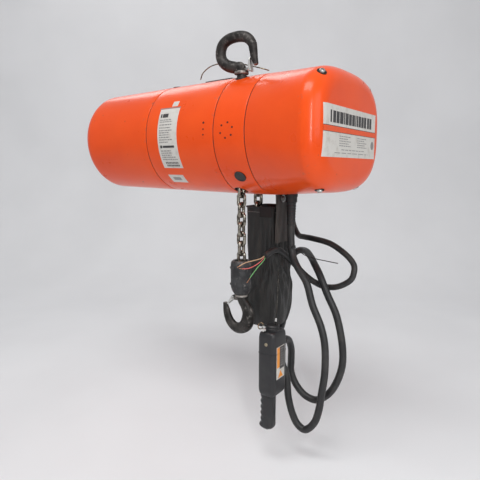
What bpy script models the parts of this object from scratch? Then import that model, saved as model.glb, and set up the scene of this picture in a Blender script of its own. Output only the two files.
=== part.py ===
"""Electric chain hoist hung by its top hook, with chain bag, load block, pendant and cables.

Metres, +Z up. The origin is the load-bearing seat of the upper hook. The barrel lies along X,
with the motor at -X and the controls at +X, and the load chain drops along the Z axis.
"""

from math import atan2, copysign, cos, pi, radians, sin, sqrt

import bmesh
import bpy
from mathutils import Matrix, Vector

# Driving dimensions
GAP = 0.0003  # between pieces that touch
SIDES = 36  # round castings
SMALL_SIDES = 16  # shafts and pins
AXIS_Y = 0.045  # barrel axis
AXIS_Z = -0.187
MOTOR_END_X = -0.434
SEAM_A_X = -0.205  # motor cover to gear housing
SEAM_B_X = -0.015  # gear housing to frame
SEAM_C_X = 0.060  # frame to control cover
CONTROL_END_X = 0.230
R_MOTOR_END = 0.1157
R_A = 0.1204
R_B = 0.1247
R_C = 0.1250
WALL = 0.004
END_ROUND = 0.034
FACE_HALF_WIDTH = 0.158  # control cover's end, a rounded oblong wider than the barrel
FACE_HALF_HEIGHT = 0.1166
FACE_POWER = 3.0

PITCH = 0.021  # load chain 7.1 x 21 mm
WIRE_NOMINAL_R = 0.00355
WIRE_R = 0.0040  # drawn thick enough that each faceted link bears on the next
LINK_HALF_WIDTH = 0.00805  # to the middle of the wire
WHEEL_R = 0.0335  # pitch radius of the five-pocket lift wheel
FALL_Y = 2 * WHEEL_R  # slack fall; the load fall is at y = 0
LOAD_LINKS = 14
SLACK_LINKS = 12

BLOCK_R = 0.0236
BLOCK_BOTTOM = -0.530

BAG_LO = Vector((-0.029, 0.0520, -0.608))
BAG_HI = Vector((0.048, 0.1480, -0.340))
BAG_WALL = 0.0025

HEAD_LO = Vector((0.0640, -0.0350, -0.7350))  # pendant head
HEAD_HI = Vector((0.1050, 0.0210, -0.5930))

CABLE_R = 0.0080  # pendant cable
POWER_R = 0.0067  # power cord
CABLE_STEP = 2.0  # diameters between a tube's points


def clear_scene():
    for old in list(bpy.data.objects):
        bpy.data.objects.remove(old)


def material(name, colour, roughness, metallic=0.0):
    found = bpy.data.materials.get(name)
    if found:
        return found
    made = bpy.data.materials.new(name)
    made.use_nodes = True
    shader = made.node_tree.nodes["Principled BSDF"]
    shader.inputs["Base Color"].default_value = (*colour, 1)
    shader.inputs["Roughness"].default_value = roughness
    shader.inputs["Metallic"].default_value = metallic
    return made


def paint():
    return material("orange paint", (0.80, 0.10, 0.015), 0.35)


def forged():
    return material("forged steel", (0.05, 0.05, 0.05), 0.55, 0.8)


def steel():
    return material("bright steel", (0.55, 0.55, 0.56), 0.3, 1.0)


def casting():
    return material("grey casting", (0.25, 0.25, 0.26), 0.6, 0.6)


def chain_steel():
    return material("chain steel", (0.16, 0.13, 0.10), 0.45, 0.9)


def black_rubber():
    return material("black rubber", (0.02, 0.02, 0.022), 0.6)


def bag_fabric():
    return material("bag fabric", (0.03, 0.03, 0.03), 0.8)


def plastic(colour, name):
    return material(name, colour, 0.45)


def place(obj, pivot):
    """Moves the object's origin to pivot and leaves its shape where it is."""
    pivot = Vector(pivot)
    obj.data.transform(Matrix.Translation(-pivot))
    obj.location = pivot
    return obj


def finish(name, bm, mat, pivot=(0, 0, 0), angle=35):
    bmesh.ops.recalc_face_normals(bm, faces=bm.faces)
    if bm.calc_volume(signed=True) < 0:
        bmesh.ops.reverse_faces(bm, faces=bm.faces)
    mesh = bpy.data.meshes.new(name)
    bm.to_mesh(mesh)
    bm.free()
    mesh.shade_smooth()
    mesh.set_sharp_from_angle(angle=radians(angle))
    mesh.materials.append(mat)
    obj = bpy.data.objects.new(name, mesh)
    bpy.context.scene.collection.objects.link(obj)
    return place(obj, pivot)


def joint_empty(name, pivot):
    empty = bpy.data.objects.new(name, None)
    empty.location = pivot
    empty.empty_display_size = 0.02
    bpy.context.scene.collection.objects.link(empty)
    return empty


def hang_on(empty, *pieces):
    for piece in pieces:
        piece.parent = empty
        piece.matrix_parent_inverse = Matrix.Translation(-empty.location)


def cutter(name, bm):
    obj = finish(name, bm, steel())
    obj.hide_render = True
    obj.display_type = "WIRE"
    return obj


def boolean(obj, tool, operation="DIFFERENCE"):
    step = obj.modifiers.new(tool.name, "BOOLEAN")
    step.operation = operation
    step.solver = "EXACT"
    step.object = tool
    return obj


def ring(bm, points):
    return [bm.verts.new(p) for p in points]


def bridge(bm, a, b):
    for i in range(len(a)):
        j = (i + 1) % len(a)
        bm.faces.new((a[i], a[j], b[j], b[i]))


def loft(bm, rings, closed=False):
    """Joins rings of points in turn, with a face on each end or round to the first ring."""
    loops = [ring(bm, r) for r in rings]
    for a, b in zip(loops, loops[1:]):
        bridge(bm, a, b)
    if closed:
        bridge(bm, loops[-1], loops[0])
    else:
        bm.faces.new(loops[0])
        bm.faces.new(loops[-1])
    return loops


def axes(direction):
    """Two directions square to the given one."""
    d = Vector(direction).normalized()
    helper = Vector((0, 0, 1)) if abs(d.z) < 0.9 else Vector((0, 1, 0))
    u = helper.cross(d).normalized()
    return u, d.cross(u)


def circle(centre, direction, radius, sides):
    u, v = axes(direction)
    turn = [2 * pi * i / sides for i in range(sides)]
    return [Vector(centre) + radius * (cos(t) * u + sin(t) * v) for t in turn]


def lathe(bm, origin, direction, profile, sides=SMALL_SIDES, closed=False):
    """Turns (along, radius) pairs about the axis through origin."""
    d = Vector(direction).normalized()
    rings = [circle(Vector(origin) + d * h, d, r, sides) for h, r in profile]
    return loft(bm, rings, closed)


def rod(bm, start, end, radius, sides=SMALL_SIDES):
    start, end = Vector(start), Vector(end)
    lathe(bm, start, end - start, [(0, radius), ((end - start).length, radius)], sides)


def box(bm, lo, hi):
    lo, hi = Vector(lo), Vector(hi)
    corners = [(lo.x, lo.y), (hi.x, lo.y), (hi.x, hi.y), (lo.x, hi.y)]
    loft(bm, [[Vector((x, y, z)) for x, y in corners] for z in (lo.z, hi.z)])


def prism(bm, outline, offset):
    """Extrudes a flat outline by an offset vector."""
    far = [Vector(p) + Vector(offset) for p in outline]
    loft(bm, [[Vector(p) for p in outline], far])


def tube(bm, path, radii, sides=8, flat=1.0):
    """A swept round bar, its frame carried along the path; flat squeezes it along Y."""
    path = [Vector(p) for p in path]
    rings = []
    for i, p in enumerate(path):
        ahead = path[min(i + 1, len(path) - 1)] - path[max(i - 1, 0)]
        side = Vector((0, 1, 0))
        out = side.cross(ahead).normalized()
        r = radii[i] if isinstance(radii, list) else radii
        turn = [2 * pi * k / sides for k in range(sides)]
        rings.append([p + r * (cos(t) * out + flat * sin(t) * side) for t in turn])
    loft(bm, rings)


def smooth_route(points, step):
    """Points about step apart along a Catmull-Rom curve through the route's points."""
    pts = [Vector(p) for p in points]
    pts = [2 * pts[0] - pts[1], *pts, 2 * pts[-1] - pts[-2]]
    fine = []
    for a, b, c, d in zip(pts, pts[1:], pts[2:], pts[3:]):
        for k in range(20):
            t = k / 20
            fine.append(
                0.5 * (2 * b + (c - a) * t + (2 * a - 5 * b + 4 * c - d) * t**2
                       + (3 * b - a - 3 * c + d) * t**3)
            )
    fine.append(pts[-2])
    length = sum((q - p).length for p, q in zip(fine, fine[1:]))
    count = max(2, round(length / step))
    out, walked, target = [fine[0]], 0.0, length / count
    for p, q in zip(fine, fine[1:]):
        seg = (q - p).length
        while walked + seg >= target * len(out) - 1e-9 and len(out) < count:
            out.append(p.lerp(q, (target * len(out) - walked) / seg))
        walked += seg
    out.append(fine[-1])
    return out


def cord(name, points, radius, mat, step):
    """A tube along a smooth curve through the route's points, its ends capped."""
    curve = bpy.data.curves.new(name, "CURVE")
    curve.dimensions = "3D"
    curve.bevel_depth = radius
    curve.bevel_resolution = 2
    curve.use_fill_caps = True
    route = smooth_route(points, step * 2 * radius)
    spline = curve.splines.new("POLY")
    spline.points.add(len(route) - 1)
    for point, p in zip(spline.points, route):
        point.co = (*p, 1)
    curve.materials.append(mat)
    obj = bpy.data.objects.new(name, curve)
    bpy.context.scene.collection.objects.link(obj)
    return obj


# Body shells


MODULE_FAST = 0.00264
MODULE_SLOW = 0.0030
PINION_TEETH = 10
GEAR_TEETH = 30
FAST_CENTRES = (PINION_TEETH + GEAR_TEETH) * MODULE_FAST / 2
SLOW_CENTRES = (PINION_TEETH + GEAR_TEETH) * MODULE_SLOW / 2


def layshaft_centre():
    """Where circles about the wheel shaft and the motor shaft cross, above both."""
    apart = AXIS_Y - WHEEL_R
    along = (SLOW_CENTRES**2 - FAST_CENTRES**2 + apart**2) / (2 * apart)
    return WHEEL_R + along, AXIS_Z + sqrt(SLOW_CENTRES**2 - along**2)


LAY_Y, LAY_Z = layshaft_centre()


def barrel_ring(x, radius, sides=SIDES):
    turn = [2 * pi * i / sides for i in range(sides)]
    return [Vector((x, AXIS_Y + radius * cos(t), AXIS_Z + radius * sin(t))) for t in turn]


def oblong_ring(x, half_width, half_height, power):
    points = []
    for i in range(SIDES):
        t = 2 * pi * i / SIDES
        c, s = cos(t), sin(t)
        y = half_width * abs(c) ** (2 / power) * (1 if c > 0 else -1)
        z = half_height * abs(s) ** (2 / power) * (1 if s > 0 else -1)
        points.append(Vector((x, AXIS_Y + y, AXIS_Z + z)))
    return points


def make_motor_cover():
    bm = bmesh.new()
    arc = [radians(a) for a in (90, 60, 30, 0)]
    flat_r = R_MOTOR_END - END_ROUND
    rings = []
    for inset in (0, WALL):
        x0 = MOTOR_END_X + END_ROUND
        r = END_ROUND - inset
        end = [barrel_ring(x0 - r * sin(a), flat_r + r * cos(a)) for a in arc]
        if inset:
            rings += [barrel_ring(SEAM_A_X - GAP, R_A - WALL)] + end[::-1]
        else:
            rings += end + [barrel_ring(SEAM_A_X - GAP, R_A)]
    loft(bm, rings)
    return finish("motor_cover", bm, paint())


def make_gear_housing():
    bm = bmesh.new()
    rings = [
        barrel_ring(SEAM_A_X + GAP, R_A),
        barrel_ring(SEAM_B_X - GAP, R_B),
        barrel_ring(SEAM_B_X - GAP, R_B - WALL),
        barrel_ring(SEAM_A_X + GAP, R_A - WALL),
    ]
    loft(bm, rings, closed=True)
    housing = finish("gear_housing", bm, paint())
    tool = bmesh.new()
    lathe(tool, (-0.0270, AXIS_Y, AXIS_Z), (1, 0, 0), [(0, 0.1225), (0.0070, 0.1225)], SIDES)
    boolean(housing, cutter("cut_wheel_wall", tool), "UNION")
    for name, y, z, r in (("wheel", WHEEL_R, AXIS_Z, 0.0173), ("layshaft", LAY_Y, LAY_Z, 0.0074)):
        tool = bmesh.new()
        rod(tool, (-0.0400, y, z), (-0.0100, y, z), r, 20)
        boolean(housing, cutter(f"cut_{name}_seat", tool))
    return housing


def make_frame():
    """The load-bearing ring with the suspension boss, chain openings and a bag lug."""
    bm = bmesh.new()
    rings = [
        barrel_ring(SEAM_B_X + GAP, R_B),
        barrel_ring(SEAM_C_X - GAP, R_C),
        barrel_ring(SEAM_C_X - GAP, R_C - 0.006),
        barrel_ring(SEAM_B_X + GAP, R_B - 0.006),
    ]
    loft(bm, rings, closed=True)
    frame = finish("frame_casting", bm, paint())
    tool = bmesh.new()
    rod(tool, (0, 0, -0.0920), (0, 0, -0.0670), 0.0240 - 0.0100, 20)
    boolean(frame, cutter("cut_boss", tool), "UNION")
    tool = bmesh.new()
    box(tool, (0.0400, 0.0600, -0.3290), (0.0520, 0.1060, -0.2960))
    boolean(frame, cutter("cut_bag_lug", tool), "UNION")
    tool = bmesh.new()
    rod(tool, (0, 0, -0.1000), (0, 0, -0.0500), 0.0112, 20)
    boolean(frame, cutter("cut_shank_bore", tool))
    tool = bmesh.new()
    rod(tool, (0, 0, -0.3200), (0, 0, -0.2850), 0.0143, 20)
    boolean(frame, cutter("cut_load_hole", tool))
    tool = bmesh.new()
    rod(tool, (0, FALL_Y, -0.3200), (0, FALL_Y, -0.2850), 0.0143, 20)
    boolean(frame, cutter("cut_slack_hole", tool))
    tool = bmesh.new()
    lathe(tool, (0.0270, AXIS_Y, AXIS_Z), (1, 0, 0), [(0, 0.1210), (0.0070, 0.1210)], SIDES)
    boolean(frame, cutter("cut_bearing_wall", tool), "UNION")
    tool = bmesh.new()
    rod(tool, (0.0200, WHEEL_R, AXIS_Z), (0.0400, WHEEL_R, AXIS_Z), 0.0173, 20)
    boolean(frame, cutter("cut_bearing_seat", tool))
    return frame


def make_control_cover():
    bm = bmesh.new()
    arc = [radians(a) for a in (0, 30, 60, 90)]
    x0 = CONTROL_END_X - END_ROUND
    outer = [barrel_ring(SEAM_C_X + GAP, R_C)]
    inner = [barrel_ring(SEAM_C_X + GAP, R_C - WALL)]
    for rings, r in ((outer, END_ROUND), (inner, END_ROUND - WALL)):
        for a in arc:
            back = END_ROUND - r * cos(a)
            wide, high = FACE_HALF_WIDTH - back, FACE_HALF_HEIGHT - back
            rings.append(oblong_ring(x0 + r * sin(a), wide, high, FACE_POWER))
    loft(bm, outer[::-1] + inner)
    return finish("control_cover", bm, paint())


def cover_edge(turn, arc):
    """A point on the rounding between the control cover's side and its end."""
    back = END_ROUND * (1 - cos(arc))
    y = (FACE_HALF_WIDTH - back) * abs(cos(turn)) ** (2 / FACE_POWER) * copysign(1, cos(turn))
    z = (FACE_HALF_HEIGHT - back) * abs(sin(turn)) ** (2 / FACE_POWER) * copysign(1, sin(turn))
    x = CONTROL_END_X - END_ROUND + END_ROUND * sin(arc)
    return Vector((x, AXIS_Y + y, AXIS_Z + z))


def make_cover_screws():
    """Socket screws on the two front corners of the control cover."""
    step = radians(1)
    for name, turn, arc in (("top", radians(129), radians(30)), ("bottom", radians(246), radians(9))):
        around = cover_edge(turn + step, arc) - cover_edge(turn - step, arc)
        over = cover_edge(turn, arc + step) - cover_edge(turn, arc - step)
        out = around.cross(over).normalized()
        out *= copysign(1, out.x)
        bm = bmesh.new()
        head = [(0, 0.0050), (0.0030, 0.0050), (0.0040, 0.0042), (0.0040, 0.0026), (0.0018, 0.0026)]
        lathe(bm, cover_edge(turn, arc) + out * 0.0012, out, head, 12)
        finish("cover_screw_" + name, bm, steel())


def on_barrel(x, angle, radius):
    """A point on the barrel; angle 0 faces the front (-Y) and 90 degrees faces up."""
    a = radians(angle)
    return Vector((x, AXIS_Y - radius * cos(a), AXIS_Z + radius * sin(a)))


def make_frame_plug():
    bm = bmesh.new()
    out = (on_barrel(0, -43, 1) - on_barrel(0, -43, 0)).normalized()
    start = on_barrel(0.0290, -43, R_C + 0.0009)
    lathe(bm, start, out, [(0, 0.0125), (0.0022, 0.0125), (0.0036, 0.0105)], 20)
    return finish("frame_plug", bm, black_rubber())


# Suspension


UPPER_HOOK_PATH = [
    (0, 0, -0.1180), (0, 0, -0.0560), (-0.0130, 0, -0.0500), (-0.0330, 0, -0.0440),
    (-0.0480, 0, -0.0330), (-0.0530, 0, -0.0170), (-0.0480, 0, -0.0010), (-0.0350, 0, 0.0080),
    (-0.0190, 0, 0.0112), (-0.0020, 0, 0.0110), (0.0140, 0, 0.0060), (0.0255, 0, -0.0060),
    (0.0290, 0, -0.0200), (0.0310, 0, -0.0330), (0.0350, 0, -0.0460),
]
UPPER_HOOK_RADII = [
    0.0105, 0.0105, 0.0120, 0.0120, 0.0115, 0.0112, 0.0110, 0.0110,
    0.0110, 0.0110, 0.0105, 0.0095, 0.0085, 0.0075, 0.0055,
]
UPPER_LATCH_PIVOT = Vector((0.0190, 0, -0.0560))


def lug_on(obj, name, pivot, lo, hi):
    """Joins a latch lug to a hook and bores it for the pin."""
    tool = bmesh.new()
    box(tool, pivot + Vector(lo), pivot + Vector(hi))
    boolean(obj, cutter("cut_" + name, tool), "UNION")
    tool = bmesh.new()
    rod(tool, pivot - Vector((0, 0.02, 0)), pivot + Vector((0, 0.02, 0)), 0.0024, 12)
    boolean(obj, cutter("cut_" + name + "_bore", tool))


def make_upper_hook():
    bm = bmesh.new()
    tube(bm, UPPER_HOOK_PATH, UPPER_HOOK_RADII, 12)
    hook = finish("upper_hook", bm, forged())
    lug_on(hook, "upper_lug", UPPER_LATCH_PIVOT, (-0.0150, -0.0040, -0.0033), (0.0033, 0.0040, 0.0033))
    tool = bmesh.new()
    rod(tool, (0, 0, -0.0660), (0, 0, -0.0580), 0.0150, 16)
    boolean(hook, cutter("cut_upper_collar", tool), "UNION")
    bm = bmesh.new()
    profile = [(0, 0.0127), (0, 0.0200), (0.0210, 0.0200), (0.0210, 0.0127)]
    lathe(bm, (0, 0, -0.1165), (0, 0, 1), profile, 6, closed=True)
    finish("suspension_nut", bm, steel())
    return hook


def make_latch(name, pivot, tip, mat):
    """A folded sheet latch: a web between two cheeks that straddle the hook's lug."""
    pivot, tip = Vector(pivot), Vector(tip)
    along = (tip - pivot).normalized()
    up = Vector((0, 1, 0)).cross(along)
    half, sheet, depth = 0.0062, 0.0012, 0.0045
    back = 0.0045
    section = [
        (-half, -depth), (-half, sheet), (half, sheet), (half, -depth),
        (half - sheet, -depth), (half - sheet, 0), (sheet - half, 0), (sheet - half, -depth),
    ]
    bm = bmesh.new()
    start = pivot - along * back + up * 0.0052
    length = (tip - pivot).length + back
    rings = []
    for reach in (0, length):
        rings.append([start + along * reach + Vector((0, y, 0)) + up * z for y, z in section])
    loft(bm, rings)
    latch = finish(name, bm, mat, pivot)
    tool = bmesh.new()
    rod(tool, pivot - Vector((0, 0.02, 0)), pivot + Vector((0, 0.02, 0)), 0.0024, 12)
    boolean(latch, cutter("cut_" + name, tool))
    bm = bmesh.new()
    rod(bm, pivot - Vector((0, 0.0075, 0)), pivot + Vector((0, 0.0075, 0)), 0.0020, 10)
    pin = finish(name + "_pin", bm, steel())
    return latch, pin


# Load chain


def link_points(centre, along, across, sides=8):
    """The middle line of one chain link, a stadium in the plane of along and across."""
    straight = PITCH / 2 + WIRE_NOMINAL_R - LINK_HALF_WIDTH
    points = []
    for i in range(sides):
        t = 2 * pi * (i + 0.5) / sides
        a = LINK_HALF_WIDTH * sin(t)
        a += straight if a > 0 else -straight
        points.append(centre + along * a + across * LINK_HALF_WIDTH * cos(t))
    return points


def add_link(bm, centre, along, across, radius=WIRE_R):
    middle = link_points(centre, along, across)
    normal = along.cross(across).normalized()
    rings = []
    for i, p in enumerate(middle):
        ahead = middle[(i + 1) % len(middle)] - middle[i - 1]
        out = ahead.cross(normal).normalized()
        turn = [2 * pi * (k + 0.5) / 6 for k in range(6)]
        rings.append([p + radius * (cos(t) * out + sin(t) * normal) for t in turn])
    loft(bm, rings, closed=True)


def chain_run(name, links, thin):
    """Joins a run of links, each bearing on the next; thin gives its end links' radius."""
    meshes = [bmesh.new(), bmesh.new()]
    for k, (centre, along, across) in enumerate(links):
        add_link(meshes[k % 2], centre, along, across, thin.get(k, WIRE_R))
    run = finish(name, meshes[0], chain_steel())
    return boolean(run, cutter("cut_" + name, meshes[1]), "UNION")


def fall_links(y, count):
    """Links hanging from the tangent point, flat and standing in turn; a flat one lies in XZ."""
    for k in range(count):
        across = Vector((1, 0, 0)) if k % 2 == 0 else Vector((0, 1, 0))
        yield Vector((0, y, AXIS_Z - PITCH * (k + 0.5))), Vector((0, 0, 1)), across


def wheel_links():
    """The links on the wheel but the one next to the load fall, which slides."""
    for k in range(1, 5):
        a = radians(18 + 36 * k)
        out = Vector((0, -cos(a), sin(a)))
        along = Vector((0, sin(a), cos(a)))
        across = out if k % 2 == 0 else Vector((1, 0, 0))
        yield Vector((0, WHEEL_R, AXIS_Z)) + out * (WHEEL_R - 0.0003), along, across


def make_chain():
    chain_run("chain_over_wheel", wheel_links(), {3: 0.0032})
    chain_run("slack_chain", fall_links(FALL_Y, SLACK_LINKS), {0: 0.00355})
    return chain_run("load_chain", fall_links(0, LOAD_LINKS), {0: 0.00355})


def make_stored_chain():
    """The chain stored in the bag, as one heap."""
    bm = bmesh.new()
    lo = BAG_LO + Vector((0.0045, 0.0045, 0))
    hi = BAG_HI - Vector((0.0045, 0.0045, 0))
    rings = []
    for rise, inset in ((0.0045, 0.006), (0.0120, 0), (0.0900, 0), (0.1050, 0.006), (0.1120, 0.018)):
        a = lo + Vector((inset, inset, 0))
        b = hi - Vector((inset, inset, 0))
        rings.append(rounded_outline(a, b, 0.0100, BAG_LO.z + rise, 2))
    loft(bm, rings)
    return finish("stored_chain", bm, chain_steel())


# Drive


def bored_disc(name, x0, x1, radius, mat, bores, sides=SIDES):
    bm = bmesh.new()
    lathe(bm, (x0, AXIS_Y, AXIS_Z), (1, 0, 0), [(0, radius), (x1 - x0, radius)], sides)
    disc = finish(name, bm, mat)
    for i, (y, z, r) in enumerate(bores):
        tool = bmesh.new()
        rod(tool, (x0 - 0.01, y, z), (x1 + 0.01, y, z), r, 20)
        boolean(disc, cutter(f"cut_{name}_{i}", tool))
    return disc


def gear_outline(teeth, module, centre_y, centre_z, x, phase):
    """Trapezoid teeth, a little thin so that meshed wheels stay apart."""
    pitch_r = teeth * module / 2
    rows = [(-0.27, -1.1), (-0.13, 0.85), (0.13, 0.85), (0.27, -1.1)]
    points = []
    for k in range(teeth):
        for share, rise in rows:
            a = 2 * pi * (k + share * 0.86) / teeth + phase
            r = pitch_r + rise * module
            points.append(Vector((x, centre_y + r * cos(a), centre_z + r * sin(a))))
    return points


def toothed(name, teeth, module, y, z, x0, x1, phase, mat):
    bm = bmesh.new()
    prism(bm, gear_outline(teeth, module, y, z, x0, phase), (x1 - x0, 0, 0))
    return finish(name, bm, mat, (x0, y, z))


def join_shaft(gear, tool_name, x0, x1, y, z, radius):
    tool = bmesh.new()
    rod(tool, (x0, y, z), (x1, y, z), radius, SMALL_SIDES)
    return boolean(gear, cutter(tool_name, tool), "UNION")


def make_gears():
    """Two 3 to 1 stages; tooth phases put the wheels in mesh at rest."""
    to_lay_slow = atan2(LAY_Z - AXIS_Z, LAY_Y - WHEEL_R)
    to_lay_fast = atan2(LAY_Z - AXIS_Z, LAY_Y - AXIS_Y)
    half_gear = pi / GEAR_TEETH
    driven = toothed("driven_gear", GEAR_TEETH, MODULE_SLOW, WHEEL_R, AXIS_Z,
                     -0.0580, -0.0440, to_lay_slow + half_gear, steel())
    tool = bmesh.new()
    rod(tool, (-0.0700, WHEEL_R, AXIS_Z), (-0.0300, WHEEL_R, AXIS_Z), 0.0083, 20)
    boolean(driven, cutter("cut_driven_bore", tool))
    lay = toothed("layshaft_gear", GEAR_TEETH, MODULE_FAST, LAY_Y, LAY_Z,
                  -0.0840, -0.0740, to_lay_fast + pi + half_gear, steel())
    join_shaft(lay, "cut_layshaft", -0.0960, -0.0300, LAY_Y, LAY_Z, 0.0070)
    pinion = bmesh.new()
    outline = gear_outline(PINION_TEETH, MODULE_SLOW, LAY_Y, LAY_Z, -0.0600, to_lay_slow + pi)
    prism(pinion, outline, (0.0180, 0, 0))
    boolean(lay, cutter("cut_layshaft_pinion", pinion), "UNION")
    return driven, lay, to_lay_fast


def make_lift_wheel():
    bm = bmesh.new()
    profile = [
        (0, 0.0282), (0.0082, 0.0282), (0.0090, 0.0195), (0.0170, 0.0195), (0.0178, 0.0282),
        (0.0260, 0.0282),
    ]
    lathe(bm, (-0.0130, WHEEL_R, AXIS_Z), (1, 0, 0), profile, 30)
    wheel = finish("lift_wheel", bm, steel(), (0, WHEEL_R, AXIS_Z))
    tool = bmesh.new()
    rod(tool, (-0.0620, WHEEL_R, AXIS_Z), (0.0380, WHEEL_R, AXIS_Z), 0.0080, 20)
    return boolean(wheel, cutter("cut_wheel_shaft", tool), "UNION")


BEARINGS = [
    ("motor_bearing_front", -0.1045, AXIS_Y, 0.0093, 0.0190),
    ("motor_bearing_rear", -0.2900, AXIS_Y, 0.0093, 0.0190),
    ("wheel_bearing_left", -0.0270, WHEEL_R, 0.0083, 0.0170),
    ("wheel_bearing_right", 0.0270, WHEEL_R, 0.0083, 0.0170),
]


def make_bearings():
    """Closed ball bearings, each drawn as one ring."""
    for name, x, y, bore, outer in BEARINGS:
        bm = bmesh.new()
        profile = [(0, bore), (0, outer), (0.0070, outer), (0.0070, bore)]
        lathe(bm, (x, y, AXIS_Z), (1, 0, 0), profile, 20, closed=True)
        finish(name, bm, steel())


def make_motor(to_lay_fast):
    bm = bmesh.new()
    profile = [(0, 0.0525), (0, 0.0980), (0.1200, 0.0980), (0.1200, 0.0525)]
    lathe(bm, (-0.2500, AXIS_Y, AXIS_Z), (1, 0, 0), profile, 32, closed=True)
    finish("motor_stator", bm, casting())
    bm = bmesh.new()
    profile = [
        (0, 0.0090), (0.0850, 0.0090), (0.0850, 0.0505), (0.2150, 0.0505),
        (0.2150, 0.0090), (0.2650, 0.0090),
    ]
    lathe(bm, (-0.3400, AXIS_Y, AXIS_Z), (1, 0, 0), profile, 24)
    rotor = finish("motor_rotor", bm, steel(), (-0.3400, AXIS_Y, AXIS_Z))
    tool = bmesh.new()
    outline = gear_outline(PINION_TEETH, MODULE_FAST, AXIS_Y, AXIS_Z, -0.0860, to_lay_fast)
    prism(tool, outline, (0.0180, 0, 0))
    boolean(rotor, cutter("cut_motor_pinion", tool), "UNION")
    return rotor


def make_motor_parts():
    plate_r = R_A - WALL - 0.0012
    bored_disc("gearbox_plate", -0.1040, -0.0980, plate_r, casting(), [(AXIS_Y, AXIS_Z, 0.0193)])
    bored_disc("motor_end_plate", -0.2900, -0.2830, 0.1130, casting(), [(AXIS_Y, AXIS_Z, 0.0193)])
    bm = bmesh.new()
    profile = [(0, 0.0093), (0, 0.0600), (0.0060, 0.0600), (0.0060, 0.0093)]
    lathe(bm, (-0.3300, AXIS_Y, AXIS_Z), (1, 0, 0), profile, 28, closed=True)
    brake = finish("brake_disc", bm, steel(), (-0.3300, AXIS_Y, AXIS_Z))
    bm = bmesh.new()
    profile = [(0, 0.0130), (0, 0.0560), (0.0320, 0.0560), (0.0320, 0.0130)]
    lathe(bm, (-0.3700, AXIS_Y, AXIS_Z), (1, 0, 0), profile, 24, closed=True)
    finish("brake_coil", bm, casting())
    return brake


def make_controls():
    dark = plastic((0.05, 0.05, 0.05), "black moulding")
    bm = bmesh.new()
    box(bm, (0.0620, -0.0300, -0.2600), (0.0650, 0.1200, -0.1100))
    finish("control_panel_plate", bm, steel())
    bm = bmesh.new()
    box(bm, (0.0655, -0.0150, -0.1700), (0.1150, 0.0350, -0.1200))
    finish("reversing_contactor", bm, dark)
    bm = bmesh.new()
    profile = [(0, 0.0050), (0.0700, 0.0050), (0.0700, 0.0120), (0.0740, 0.0120)]
    lathe(bm, (0.0655, 0.0450, -0.2000), (1, 0, 0), profile, 16)
    finish("limit_switch_screw", bm, steel())


# Load block and hook


def make_load_block():
    """A split block bolted round the last link and the head of the hook."""
    profile = [(0, 0.0150), (0.0090, 0.0215), (0.0200, BLOCK_R), (0.0690, BLOCK_R), (0.0760, 0.0190)]
    bm = bmesh.new()
    lathe(bm, (0, 0, BLOCK_BOTTOM), (0, 0, 1), profile, 24)
    front = finish("block_half_front", bm, forged())
    bm = bmesh.new()
    lathe(bm, (0, 0, BLOCK_BOTTOM), (0, 0, 1), profile, 24)
    back = finish("block_half_back", bm, forged())
    for half, name, y0, y1 in ((front, "front", -GAP / 2, 0.05), (back, "back", -0.05, GAP / 2)):
        tool = bmesh.new()
        box(tool, (-0.05, y0, -0.56), (0.05, y1, -0.44))
        boolean(half, cutter("cut_split_" + name, tool))
    tool = bmesh.new()
    rod(tool, (0, 0, -0.4925), (0, 0, -0.4400), 0.0128, 16)
    pocket = cutter("cut_chain_pocket", tool)
    tool = bmesh.new()
    seat_profile = [(0, 0.0108), (0.0250, 0.0108), (0.0250, 0.0166), (0.0430, 0.0166)]
    lathe(tool, (0, 0, -0.5400), (0, 0, 1), seat_profile, 16)
    seat = cutter("cut_hook_seat", tool)
    tool = bmesh.new()
    rod(tool, (-0.0600, 0, PIN_Z), (0.0600, 0, PIN_Z), CHAIN_PIN_R + 0.0004, 12)
    bore = cutter("cut_chain_pin_bore", tool)
    tool = bmesh.new()
    rod(tool, (0.0200, -0.0500, -0.5060), (0.0200, 0.0500, -0.5060), 0.0022, 10)
    bolt_bore = cutter("cut_block_bolt", tool)
    for half in (front, back):
        for tool in (pocket, seat, bore, bolt_bore):
            boolean(half, tool)
    bm = bmesh.new()
    rod(bm, (-0.0180, 0, PIN_Z), (0.0180, 0, PIN_Z), CHAIN_PIN_R, 12)
    pin = finish("chain_pin", bm, steel())
    bm = bmesh.new()
    rod(bm, (0.0200, -0.0140, -0.5060), (0.0200, 0.0140, -0.5060), 0.0018, 10)
    bolt = finish("block_bolt", bm, steel())
    return front, back, pin, bolt


CHAIN_PIN_R = 0.0036
PIN_Z = AXIS_Z - PITCH * LOAD_LINKS + 0.0044  # through the last link, on its lower end

LOAD_HOOK_PATH = [
    (0, 0, -0.5080), (0, 0, -0.5330), (0.0030, 0, -0.5440), (0.0110, 0, -0.5550), (0.0175, 0, -0.5680),
    (0.0180, 0, -0.5830), (0.0120, 0, -0.5980), (-0.0010, 0, -0.6075), (-0.0160, 0, -0.6080),
    (-0.0290, 0, -0.5990), (-0.0370, 0, -0.5850), (-0.0410, 0, -0.5700), (-0.0440, 0, -0.5580),
]
LOAD_HOOK_RADII = [
    0.0105, 0.0105, 0.0110, 0.0120, 0.0135, 0.0150, 0.0150, 0.0130, 0.0115,
    0.0105, 0.0095, 0.0080, 0.0055,
]
LOAD_LATCH_PIVOT = Vector((-0.0190, 0, -0.5420))


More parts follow.
